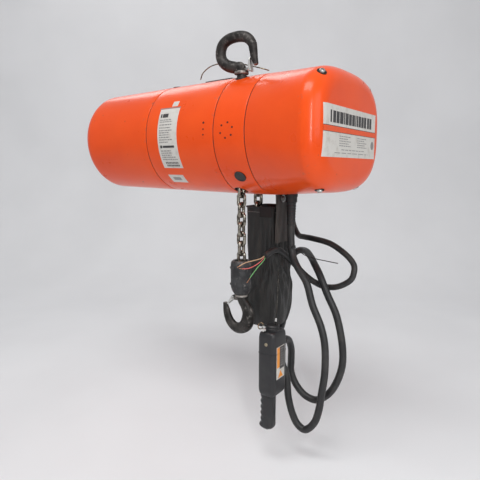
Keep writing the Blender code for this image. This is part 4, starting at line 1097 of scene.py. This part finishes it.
def makeBlock():
    profile = [(0.0, 0.0120), (0.0, 0.0142), (0.0012, 0.0160), (0.0060, 0.0192), (0.0100, 0.0212),
        (0.0160, 0.0230), (0.0220, 0.0236)]
    profile += [(0.0450, 0.0236), (0.0660, 0.0236), (0.0705, 0.0229), (0.0738, 0.0212), (0.0756, 0.0190),
        (0.0760, 0.0172), (0.0752, 0.0140), (0.0700, 0.0132), (0.0500, 0.0130), (0.0400, 0.0125),
        (0.0020, 0.0118)]
    for name, node, side in (("blockFront", "block_half_front", -1), ("blockBack", "block_half_back", 1)):
        bm = bmesh.new()
        rings = []
        for h, r in profile:
            ring = []
            for i in range(33):
                t = pi * i / 32
                y = side * max(r * sin(t), block["gap"] / 2)
                if 0 < i < 32 and h > 0.02 and h < 0.07 and r > 0.02:
                    y += side * 0.0012 * exp(-((h - 0.046) / 0.012) ** 2) * sin(t) ** 6
                ring.append(Vector((r * cos(t), y, block["bottom"] + h)))
            rings.append(ring)
        loops = [[bm.verts.new(p) for p in ring] for ring in rings]
        for a, b in zip(loops, loops[1:] + loops[:1]):
            for i in range(32):
                bm.faces.new((a[i], a[i + 1], b[i + 1], b[i]))
        half = len(profile)
        for end in (0, 32):
            bm.faces.new([loops[k][end] for k in range(half)])
        obj = addMesh(name, bm, looks["block"], "load_block", 35)
        edge = obj.modifiers.new("edge", "BEVEL")
        edge.width = 0.0005
        edge.segments = 2
        edge.limit_method = "ANGLE"
        edge.angle_limit = radians(50)
        standIn(node)
    bm = bmesh.new()
    for x, z in ((0.0175, -0.5060), (-0.0175, -0.5060), (0.0175, -0.4700), (-0.0175, -0.4700)):
        y = -sqrt(block["radius"] ** 2 - x * x) - 0.0012
        stud(bm, (x * 0.93, y + 0.0052, z), (0, -1, 0),
            [(0, 0.0036), (0.0040, 0.0036), (0.0050, 0.0030), (0.0050, 0.0016), (0.0034, 0.0014)], 20)
    bolts = addMesh("blockScrews", bm, looks["block"], "load_block")
    standIn("block_bolt")
    bm = bmesh.new()
    stud(bm, (0, 0, -0.5350), (0, 0, 1),
        [(0, 0.0118), (0.0005, 0.0140), (0.0045, 0.0140), (0.0050, 0.0125)], 40)
    addMesh("hookCollar", bm, looks["forged"], "load_hook")


makeBlock()
print("load block made")


# Chain bag

bag = {
    "lo": Vector((-0.029, 0.052, -0.608)), "hi": Vector((0.048, 0.148, -0.340)),
    "rows": 84, "side": 26, "corner": 0.014, "cloth": 0.0016, "tie": -0.446, "rimIn": 0.0010,
}
folds = {
    "fillAt": 0.74, "fillWide": 0.20, "slackAt": 0.40, "slackWide": 0.20, "taperFrom": 0.90,
    "waist": 0.0050, "bulge": 0.0040, "sideBulge": 0.0035, "inset": 0.0022, "gather": 0.0924, "sag": 0.0045,
    "large": 0.0030, "small": 0.0016, "crumple": 0.0032, "fan": 0.0026, "fanCount": 24, "fanReach": 0.085,
}
drape = {
    "quality": 6, "mass": 0.6, "tension": 25, "compression": 12, "bending": 0.6, "pressure": 0.9,
    "frames": 16, "reach": 0.0055, "noInwardBelow": 0.03,
}
slackFallRoom = {"halfWidth": 0.020, "aboveFloor": 0.030, "behind": 0.080, "frontY": 0.0553}


def bagOutline(count, lo, hi, radius):
    w, d = hi.x - lo.x - 2 * radius, hi.y - lo.y - 2 * radius
    arc = pi * radius / 2
    total = 2 * (w + d) + 4 * arc
    stretches = [("front", w), ("a", arc), ("right", d), ("b", arc)]
    stretches += [("back", w), ("c", arc), ("left", d), ("d", arc)]
    points = []
    for i in range(count):
        s = total * i / count
        for kind, length in stretches:
            if s <= length:
                break
            s -= length
        if kind == "front":
            points.append((lo.x + radius + s, lo.y, 0, -1))
        elif kind == "right":
            points.append((hi.x, lo.y + radius + s, 1, 0))
        elif kind == "back":
            points.append((hi.x - radius - s, hi.y, 0, 1))
        elif kind == "left":
            points.append((lo.x, hi.y - radius - s, -1, 0))
        else:
            begin = {"a": -90, "b": 0, "c": 90, "d": 180}[kind]
            cx = hi.x - radius if kind in "ab" else lo.x + radius
            cy = lo.y + radius if kind in "ad" else hi.y - radius
            t = radians(begin) + s / radius
            points.append((cx + radius * cos(t), cy + radius * sin(t), cos(t), sin(t)))
    return points


def bagSurface():
    lo, hi = bag["lo"], bag["hi"]
    count = 4 * bag["side"] + 40
    rows = []
    height = hi.z - lo.z
    outline = bagOutline(count, lo, hi, bag["corner"])
    middle = Vector(((lo.x + hi.x) / 2, (lo.y + hi.y) / 2, 0))
    for j in range(bag["rows"] + 1):
        v = j / bag["rows"]
        z = hi.z - height * v
        fill = exp(-((v - folds["fillAt"]) / folds["fillWide"]) ** 2)
        below = min(1.0, max(0.0, (bag["tie"] - z) / 0.05))
        slack = exp(-((v - folds["slackAt"]) / folds["slackWide"]) ** 2)
        low = max(0.0, (v - folds["taperFrom"]) / (1 - folds["taperFrom"]))
        ring = []
        for i, (x, y, nx, ny) in enumerate(outline):
            turn = 2 * pi * i / count
            pull = -folds["waist"] * slack * (0.5 + 0.5 * sin(3 * turn + 0.8))
            pull += (folds["bulge"] + folds["sideBulge"] * max(0.0, nx)) * fill - folds["inset"]
            away = x - hi.x if ny < -0.5 else y - lo.y
            fan = atan2(away, max(0.004, bag["tie"] - z))
            fold = folds["large"] * sin(11 * turn + 7 * v + 1.3 * sin(4 * v * pi)) * slack
            fold += folds["small"] * sin(23 * turn - 9 * v) * (slack + 0.4 * fill)
            n = noise.noise(Vector((x * 38, y * 38, z * 16 + 3.1)))
            fold += folds["crumple"] * n * (0.25 + slack)
            if nx > -0.5 and ny < 0.5:
                fade = exp(-(away / folds["fanReach"]) ** 2)
                fold += folds["fan"] * sin(folds["fanCount"] * fan) * below * fade
            inward = low * low * folds["gather"]
            px = x + nx * (pull + fold) - (x - middle.x) * inward
            py = y + ny * (pull + fold) - (y - middle.y) * inward
            ring.append(Vector((px, py, z - folds["sag"] * low * low)))
        rows.append(ring)
    return rows, count


def makeBag():
    rows, count = bagSurface()
    bm = bmesh.new()
    loops = [[bm.verts.new(p) for p in ring] for ring in rows]
    for a, b in zip(loops, loops[1:]):
        for i in range(count):
            j = (i + 1) % count
            bm.faces.new((a[i], b[i], b[j], a[j]))
    centre = sum(rows[-1], Vector()) / count
    inner = loops[-1]
    for s in (0.75, 0.5, 0.25):
        ring = []
        for p in rows[-1]:
            z = bag["lo"].z - 0.0012 + 0.0010 * sin(270 * p.x)
            ring.append(bm.verts.new(Vector((*centre.lerp(p, s).xy, z))))
        for i in range(count):
            j = (i + 1) % count
            bm.faces.new((inner[i], ring[i], ring[j], inner[j]))
        inner = ring
    tip = bm.verts.new(Vector((centre.x, centre.y, bag["lo"].z - 0.0012)))
    for i in range(count):
        bm.faces.new((inner[i], tip, inner[(i + 1) % count]))
    cloth = addMesh("chainBagCloth", bm, None, None, 60, slots=[looks["cloth"]])
    group = cloth.vertex_groups.new(name="held")
    for vert in cloth.data.vertices:
        v = (bag["hi"].z - vert.co.z) / (bag["hi"].z - bag["lo"].z)
        weight = 1.0 if v < 0.02 else max(0.0, 0.30 - v)
        if weight:
            group.add([vert.index], weight, "REPLACE")
    drapeBag(cloth)
    for vert in cloth.data.vertices:
        vert.co = clearOfSlackFall(vert.co.copy())
    thick = cloth.modifiers.new("cloth", "SOLIDIFY")
    thick.thickness = bag["cloth"]
    thick.offset = -1
    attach(cloth, "hoist")
    standIn("chain_bag")


def clearOfSlackFall(point):
    room = slackFallRoom
    nearFall = abs(point.x) < room["halfWidth"] and point.z > bag["lo"].z + room["aboveFloor"]
    if nearFall and point.y < room["behind"]:
        point.y = min(point.y, room["frontY"])
    return point


def drapeBag(cloth):
    rest = [v.co.copy() for v in cloth.data.vertices]
    sim = cloth.modifiers.new("drape", "CLOTH")
    settings = sim.settings
    settings.quality = drape["quality"]
    settings.mass = drape["mass"]
    settings.tension_stiffness = drape["tension"]
    settings.compression_stiffness = drape["compression"]
    settings.bending_stiffness = drape["bending"]
    settings.use_pressure = True
    settings.uniform_pressure_force = drape["pressure"]
    settings.vertex_group_mass = "held"
    sim.collision_settings.use_collision = False
    sim.collision_settings.use_self_collision = False
    scene = bpy.context.scene
    sim.point_cache.frame_start = 1
    sim.point_cache.frame_end = drape["frames"]
    for f in range(1, drape["frames"] + 1):
        scene.frame_set(f)
    seen = cloth.evaluated_get(bpy.context.evaluated_depsgraph_get())
    moved = [v.co.copy() for v in seen.data.vertices]
    cloth.modifiers.remove(sim)
    middle = (bag["lo"] + bag["hi"]) / 2
    for vert, a, b in zip(cloth.data.vertices, rest, moved):
        step = b - a
        out = Vector((a.x - middle.x, a.y - middle.y, 0)).normalized()
        if a.z < middle.z + drape["noInwardBelow"] and step.dot(out) < 0:
            step -= out * step.dot(out)
        if step.length > drape["reach"]:
            step *= drape["reach"] / step.length
        vert.co = a + step
    scene.frame_set(1)
    print("bag draped")


def makeBagTrim():
    lo, hi = bag["lo"], bag["hi"]
    bm = bmesh.new()
    outline = bagOutline(96, lo, hi, bag["corner"])
    inset = bag["rimIn"]
    rim = [Vector((x - nx * inset, y - ny * inset, hi.z - 0.0015)) for x, y, nx, ny in outline]
    for a, b in zip(rim, rim[1:] + rim[:1]):
        swept(bm, [a, b], 0.0019, 8, up=(0, 0, 1))
    addMesh("bagRimCord", bm, looks["cloth"], "hoist")
    bm = bmesh.new()
    front = Vector((lo.x + 0.008, lo.y - 0.0004, hi.z - 0.0125))
    right = Vector((hi.x + 0.0004, lo.y + 0.008, hi.z - 0.0125))
    stitches = [(front, Vector((1, 0, 0)), 0.0022, 30), (right, Vector((0, 1, 0)), 0.0023, 36)]
    for first, along, pitch, count in stitches:
        for k in range(count):
            a = first + along * pitch * k
            swept(bm, [a, a + along * 0.0014], 0.00045, 6, up=(0, 0, 1))
    addMesh("bagStitching", bm, looks["faint"], "hoist")
    bm = bmesh.new()
    # Painted shade: a near-black flat sheet on the front face stands for the shaded bag interior seen
    # through the mouth.

    def window(u, v, h):
        return Vector((lo.x + 0.043 + 0.0315 * u, lo.y - 0.0004 - h, hi.z + 0.0005 - 0.0235 * v))

    patch(bm, window, 4, 4, 0, 0.0010)
    addMesh("bagMouthPaintedShade", bm, looks["inside"], "hoist")


strap = {"x": 0.0535, "y0": 0.0540, "y1": 0.1180, "z0": -0.4200, "z1": -0.3130, "thick": 0.0018}


def makeStrap():
    bm = bmesh.new()
    across, down = 26, 44

    def place(u, v, h):
        y = strap["y0"] + (strap["y1"] - strap["y0"]) * u
        z = strap["z1"] + (strap["z0"] - strap["z1"]) * v
        wave = 0.0010 * sin(2 * pi * (1.5 * u + 0.7 * v)) * sin(pi * min(1, v * 1.6))
        wave += 0.0006 * sin(17 * u + 5 * v)
        rib = 0.0003 * sin(2 * pi * u * 13)
        return Vector((strap["x"] - 0.0006 + wave + rib + (strap["thick"] if h > 0 else 0), y, z))

    patch(bm, place, across, down, 0, 1.0)
    # the strap material is partly dust and partly painted light on the bag's lit right face
    band = addMesh("bagStrapWeb", bm, looks["strap"], "hoist", 60)
    standIn("bag_strap")
    bm = bmesh.new()
    stud(bm, (0.0551, 0.0830, -0.3220), (1, 0, 0),
        [(0, 0.0082), (0.0010, 0.0082), (0.0012, 0.0052), (0.0040, 0.0052), (0.0048, 0.0044)], 24)
    bolt = addMesh("bagBoltHead", bm, looks["bright"], "hoist")
    standIn("bag_bolt")


makeBag()
makeBagTrim()
makeStrap()
print("bag made")


# Pendant

pendant = {
    "lo": Vector((0.0640, -0.0350, -0.7350)), "hi": Vector((0.1050, 0.0210, -0.5930)),
    "corner": 0.0095, "paddleY": (-0.0220, 0.0080),
    "paddles": [("pendant_up_paddle", "up_paddle", -0.6560, -0.6120),
        ("pendant_down_paddle", "down_paddle", -0.7160, -0.6680)],
}


def makePendantHead():
    lo, hi = pendant["lo"], pendant["hi"]
    levels = [
        (lo.z, 0.0085), (lo.z + 0.0008, 0.0062), (lo.z + 0.0030, 0.0036), (lo.z + 0.0065, 0.0016),
        (lo.z + 0.0120, 0.0004), (lo.z + 0.0180, 0), (lo.z + 0.06, 0), (hi.z - 0.0300, 0),
        (hi.z - 0.0120, 0.0003), (hi.z - 0.0050, 0.0014), (hi.z - 0.0020, 0.0034), (hi.z - 0.0004, 0.0060),
        (hi.z, 0.0085),
    ]
    bm = bmesh.new()
    roundedBox(bm, lo, hi, pendant["corner"], levels, 8)
    head = addMesh("pendantHeadShell", bm, looks["moulding"], "hoist", 50)
    for name, _, z0, z1 in pendant["paddles"]:
        hole = bmesh.new()
        a = Vector((lo.x - 0.010, pendant["paddleY"][0] - 0.0012, z0 - 0.0012))
        b = Vector((lo.x + 0.0062, pendant["paddleY"][1] + 0.0012, z1 + 0.0012))
        roundedBox(hole, a, b, 0.003, [(a.z, 0), (b.z, 0)], 4)
        cutAway(head, addMesh("pocket", hole, looks["moulding"], None), 38)
    standIn("pendant_head")
    bm = bmesh.new()
    proud = Vector((0.0006, 0.0006, 0))
    levels = [(hi.z - 0.0472, 0.0008), (hi.z - 0.0468, 0), (hi.z - 0.0460, 0), (hi.z - 0.0456, 0.0008)]
    roundedBox(bm, lo - proud, hi + proud, pendant["corner"], levels, 8)
    addMesh("pendantSplitRib", bm, looks["moulding"], "hoist", 50)


def makePaddles():
    lo = pendant["lo"]
    for node, body, z0, z1 in pendant["paddles"]:
        bm = bmesh.new()
        a = Vector((lo.x - 0.0020, pendant["paddleY"][0], 0))
        b = Vector((lo.x + 0.0022, pendant["paddleY"][1], 0))
        levels = [(z0, 0.0012), (z0 + 0.0010, 0.0004), (z0 + 0.0030, 0), (z1 - 0.0030, 0),
            (z1 - 0.0010, 0.0004), (z1, 0.0012)]
        roundedBox(bm, a, b, 0.0018, levels, 4)
        side = 1 if body == "up_paddle" else -1
        zc = (z0 + z1) / 2
        yc = (a.y + b.y) / 2
        corners = ((-0.006, -0.005), (0.006, -0.005), (0, 0.006))
        arrow = [Vector((a.x + 0.0004, yc + y, zc + side * z)) for y, z in corners]
        loft(bm, [arrow, [p - Vector((0.0009, 0, 0)) for p in arrow]], slot=1)
        paddle = addMesh(body + "Moulding", bm, None, body, 40, slots=[looks["paddle"], looks["faint"]])
        standIn(node)


grip = {"x": (0.0640, 0.0930), "y": (-0.0260, 0.0040), "length": 0.0800, "corner": 0.0115, "rings": 96,
    "waves": 6}


def makeGrip():
    lo = pendant["lo"]
    bm = bmesh.new()
    rings = []
    count = grip["rings"]
    for k in range(count + 1):
        t = k / count
        z = lo.z - 0.0003 - grip["length"] * t
        if t < 0.8:
            bump = 0.0016 * (0.35 + 0.65 * sin(2 * pi * t * grip["waves"]))
        else:
            bump = 0.0045 * sin(pi * (t - 0.8) / 0.2)
        shrink = 0.0066 * max(0.0, (t - 0.88) / 0.12) ** 2.4
        a = Vector((grip["x"][0] - bump + shrink, grip["y"][0] + shrink, 0))
        b = Vector((grip["x"][1] - shrink, grip["y"][1] - shrink, 0))
        rings.append(cornerRing(a, b, grip["corner"], z, 8))
    loft(bm, rings[::-1])
    handle = addMesh("pendantGripMoulding", bm, looks["moulding"], "hoist", 55)
    standIn("pendant_grip")


def makePendantTrim():
    lo, hi = pendant["lo"], pendant["hi"]
    middle = (lo.x + hi.x) / 2
    bm = bmesh.new()
    stud(bm, (middle, -0.0070, hi.z - 0.0010), (0, 0, 1),
        [(0, 0.0156), (0.0050, 0.0154), (0.0060, 0.0142), (0.0072, 0.0142), (0.0086, 0.0150),
        (0.0100, 0.0144), (0.0120, 0.0122)], 48)
    collar = addMesh("pendantCollarRubber", bm, looks["boot"], "hoist")
    standIn("pendant_top_collar")
    bm = bmesh.new()
    profile = [(0, 0.0132), (0.0020, 0.0132)]
    for k in range(4):
        base = 0.0030 + 0.0030 * k
        r = 0.0112 - 0.0006 * k
        profile += [(base, r + 0.0010), (base + 0.0010, r), (base + 0.0020, r)]
    profile += [(0.0152, 0.0098)]
    stud(bm, (0.0850, hi.y - 0.0004, -0.6300), (0, 1, 0), profile, 40)
    boot = addMesh("pendantInletRubber", bm, looks["boot"], "hoist")
    standIn("pendant_inlet_boot")
    bm = bmesh.new()
    stud(bm, (0.0860, lo.y + 0.0008, -0.6180), (0, -1, 0),
        [(0, 0.0036), (0.0018, 0.0036), (0.0027, 0.0024), (0.0027, 0.0009), (0.0014, 0.0008)], 24)
    screw = addMesh("pendantScrewHead", bm, looks["brass"], "hoist")
    standIn("pendant_screw")
    bm = bmesh.new()

    def panel(y0, y1, z0, z1, slot, thick=0.0004):
        def place(u, v, h):
            return Vector((hi.x + h, y0 + (y1 - y0) * u, z0 + (z1 - z0) * v))

        patch(bm, place, 2, 2, slot, thick)

    panel(-0.0240, 0.0080, -0.6250, -0.6950, 0)
    panel(-0.0225, -0.0120, -0.6262, -0.6700, 1, 0.0006)
    panel(-0.0115, 0.0068, -0.6262, -0.6745, 2, 0.0006)
    for k in range(8):
        panel(-0.0090, 0.0045 - 0.003 * pseudo(k), -0.6300 - 0.0052 * k, -0.6316 - 0.0052 * k, 3, 0.0008)
    corners = ((-0.0180, -0.6925), (0.0020, -0.6925), (-0.0080, -0.6775))
    sign = [Vector((hi.x + 0.0003, y, z)) for y, z in corners]
    loft(bm, [sign, [p + Vector((0.0004, 0, 0)) for p in sign]], slot=1)
    addMesh("pendantLabel", bm, None, "hoist",
        slots=[looks["white"], looks["amber"], looks["ink"], looks["faint"]])


makePendantHead()
makePaddles()
makeGrip()
makePendantTrim()
print("pendant made")


# Glands, tie and wires


def makeGlands():
    bm = bmesh.new()
    profile = [(-0.004, 0.0140), (0.0060, 0.0140), (0.0070, 0.0128), (0.0180, 0.0128), (0.0195, 0.0108)]
    for k in range(7):
        base = 0.0225 + 0.0060 * k
        r = 0.0108 - 0.00022 * k
        profile += [(base, r), (base + 0.0012, r - 0.0008), (base + 0.0024, r - 0.0008), (base + 0.0036, r)]
    profile += [(0.0680, 0.0090)]
    stud(bm, (0.0750, 0.0850, -0.3112), (0, 0, -1), profile, 40)
    gland = addMesh("pendantGlandBoot", bm, looks["boot"], "hoist")
    standIn("pendant_cable_gland")
    bm = bmesh.new()
    out = Vector((0, 1, -1)).normalized()
    start = Vector((0.0220, barrel["axisY"], barrel["axisZ"])) + out * 0.1240
    end = Vector(powerRoute[0])
    reach = (end - start).length - 0.0030
    stud(bm, start, end - start, [(0, 0.0128), (0.0100, 0.0128), (0.0115, 0.0118), (0.0140, 0.0112),
        (0.0155, 0.0100), (reach, 0.0082)], 40)
    gland = addMesh("powerGlandBoot", bm, looks["boot"], "hoist")
    standIn("power_cord_gland")


tie = {
    "search": 80, "lock": Vector((0.0028, 0.0028, 0.0030)),
    "tail": [
        (0.0980, 0.1060, -0.4480), (0.1279, 0.1000, -0.4527),
        (0.1542, 0.1000, -0.4552), (0.1820, 0.1000, -0.4575),
    ],
}


def makeTie():
    lo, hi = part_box("cable_tie")
    at = (lo + hi) / 2
    points = curvePoints(pendantRoute, 20)
    nearest = min(range(1, tie["search"]), key=lambda i: (points[i] - at).length)
    along = (points[nearest + 1] - points[nearest - 1]).normalized()
    r = cableLooks["pendantRadius"]
    bm = bmesh.new()
    ring = [(-0.0024, r + 0.0002), (-0.0022, r + 0.0016), (0.0022, r + 0.0016), (0.0024, r + 0.0002)]
    turned(bm, points[nearest], along, ring, 40, caps=False)
    spot = points[nearest] + Vector((0.70, -0.65, 0)).normalized() * (r + 0.0020)
    half = tie["lock"]
    levels = [(spot.z - half.z, 0.0006), (spot.z - 0.0024, 0), (spot.z + 0.0024, 0),
        (spot.z + half.z, 0.0006)]
    roundedBox(bm, spot - half, spot + half, 0.0010, levels, 3)
    tail = bmesh.new()
    route = [points[nearest] + Vector((0.002, 0.0075, 0)), *(Vector(p) for p in tie["tail"])]
    swept(tail, curvePoints(route, 8), 0.0010, 8, flat=0.5)
    addMesh("cableTieTail", tail, looks["nylon"], "hoist", 40)
    band = addMesh("cableTieBand", bm, looks["nylon"], "hoist", 40)
    solid = band.modifiers.new("band", "SOLIDIFY")
    solid.thickness = 0.0003
    standIn("cable_tie")


strainRoute = [
    (0.0920, -0.0070, -0.5808), (0.0905, -0.0040, -0.5700), (0.0860, 0.0080, -0.5400),
    (0.0760, 0.0300, -0.5000), (0.0660, 0.0480, -0.4750),
]
topRoute = [
    (-0.1250, 0.0200, -0.0590), (-0.1170, 0.0200, -0.0450), (-0.0923, 0.0200, -0.0330),
    (-0.0569, 0.0220, -0.0310), (-0.0176, 0.0280, -0.0370), (0.0152, 0.0280, -0.0460),
    (0.0372, 0.0230, -0.0530), (0.0540, 0.0200, -0.0590),
]


def twisted(bm, path, radius, strand, turns, sides=6):
    for k in range(3):
        points = []
        for i, p in enumerate(path):
            ahead = (path[min(i + 1, len(path) - 1)] - path[max(i - 1, 0)]).normalized()
            u, v = squareAxes(ahead)
            t = 2 * pi * (turns * i / len(path) + k / 3)
            points.append(p + radius * (cos(t) * u + sin(t) * v))
        swept(bm, points, strand, sides, up=(0.3, 0.8, 0.2))


def makeWires():
    bm = bmesh.new()
    twisted(bm, curvePoints(strainRoute, 30), 0.00058, 0.00055, 26)
    wire = addMesh("strainWireRope", bm, looks["grimy"], "hoist")
    standIn("strain_wire")
    bm = bmesh.new()
    twisted(bm, curvePoints(topRoute, 24), 0.00072, 0.00070, 34)
    wire = addMesh("topWireRope", bm, looks["wire"], "suspension")
    standIn("top_wire")
    bm = bmesh.new()
    stud(bm, (0.0912, -0.0055, -0.5750), (-0.06, 0.25, 0.97),
        [(0, 0.0016), (0.0006, 0.0021), (0.0065, 0.0021), (0.0072, 0.0016)], 20)
    stud(bm, (0.0780, -0.0330, -0.5900), (0, 0, 1),
        [(0, 0.0052), (0.0010, 0.0058), (0.0042, 0.0058), (0.0052, 0.0046), (0.0052, 0.0026),
        (0.0110, 0.0024)], 6)
    addMesh("strainFerrule", bm, looks["bright"], "hoist", 30)
    bm = bmesh.new()
    centre = Vector((0.0640, -0.0215, -0.5850))
    around = [2 * pi * k / 32 for k in range(33)]
    ringPath = [centre + 0.0068 * Vector((cos(t) * 0.86, sin(t) * 0.5, sin(t) * 0.86)) for t in around]
    swept(bm, ringPath, 0.0012, 10, up=(0.35, -0.8, 0.4))
    addMesh("strainRing", bm, looks["wire"], "hoist", 40)


makeGlands()
makeTie()
makeWires()
print("glands and wires made")


# Inner pieces keep their solids and take a finish

innerLooks = {
    "suspension_nut": "bright", "chain_over_wheel": "chain", "motor_stator": "casting",
    "motor_end_plate": "casting", "gearbox_plate": "casting", "motor_bearing_front": "bright",
    "motor_bearing_rear": "bright", "wheel_bearing_left": "bright", "wheel_bearing_right": "bright",
    "brake_coil": "casting", "control_panel_plate": "casting", "reversing_contactor": "nylon",
    "limit_switch_screw": "bright", "lift_wheel": "gear", "driven_gear": "gear",
    "layshaft_gear": "gear", "motor_rotor": "gear", "brake_disc": "lining", "chain_pin": "bright",
    "load_hook_nut": "bright", "load_hook_thrust_bearing": "bright",
}


def dressInnerPieces():
    for name, look in innerLooks.items():
        piece = nodes[name]
        piece.data.materials.clear()
        piece.data.materials.append(looks[look])


dressInnerPieces()


# Room

room = {
    "floorZ": -0.900, "near": -6.0, "far": 1.2, "sweep": 0.9, "wallTop": 6.0, "sides": (-8, -2, 2, 8),
    "dark": (0.76, 0.76, 0.77), "light": (0.80, 0.80, 0.81),
}
lights = [
    ("keyLight", (0.1, -1.2, 1.9), (0, 0, -0.3), (1.8, 0.9), 37),
    ("fillLight", (2.2, -0.6, 0.5), (0, 0, -0.35), (1.4, 1.4), 12),
    ("stripLight", (1.0, -1.09, 0.10), (0.19, -0.1, -0.15), (0.09, 0.75), 5.5),
    ("backLight", (-1.6, 1.4, 1.2), (0, 0, -0.3), (1.4, 1.0), 10),
]
sky = {"colour": (0.93, 0.94, 0.96, 1), "strength": 0.47}


def makeRoom():
    mat, tree, shader = newMaterial("pale floor", 0.75)
    clouds = rampNode(tree, noiseNode(tree, 2.0, 3, 0.5), 0.3, 0.7)
    base = mixColour(tree, clouds, room["dark"], room["light"])
    tree.links.new(base, shader.inputs["Base Color"])
    bm = bmesh.new()
    away = Vector((-sin(radians(camera["turn"])), cos(radians(camera["turn"])), 0))
    side = Vector((away.y, -away.x, 0))
    far, sweep = room["far"], room["sweep"]
    profile = [(room["near"], 0.0), (far, 0.0)]
    for k in range(1, 13):
        a = radians(7.5 * k)
        profile.append((far + sweep * sin(a), sweep * (1 - cos(a))))
    profile.append((far + sweep, room["wallTop"]))
    loops = []
    for d, h in profile:
        up = Vector((0, 0, room["floorZ"] + h))
        loops.append([bm.verts.new(away * d + side * s + up) for s in room["sides"]])
    for a, b in zip(loops, loops[1:]):
        for i in range(3):
            bm.faces.new((a[i], a[i + 1], b[i + 1], b[i]))
    floor = addMesh("floor", bm, mat, None, 60)


def areaLight(name, place, aim, size, power):
    data = bpy.data.lights.new(name, "AREA")
    data.shape = "RECTANGLE"
    data.size, data.size_y = size
    data.energy = power
    obj = bpy.data.objects.new(name, data)
    bpy.context.scene.collection.objects.link(obj)
    obj.location = place
    obj.rotation_euler = (Vector(aim) - Vector(place)).to_track_quat("-Z", "Y").to_euler()


def makeLights():
    for light in lights:
        areaLight(*light)
    world = bpy.data.worlds.new("studio")
    bpy.context.scene.world = world
    world.use_nodes = True
    background = world.node_tree.nodes["Background"]
    background.inputs["Color"].default_value = sky["colour"]
    background.inputs["Strength"].default_value = sky["strength"]
    bpy.context.scene.view_settings.view_transform = "Standard"


makeRoom()
makeLights()
print("room made")
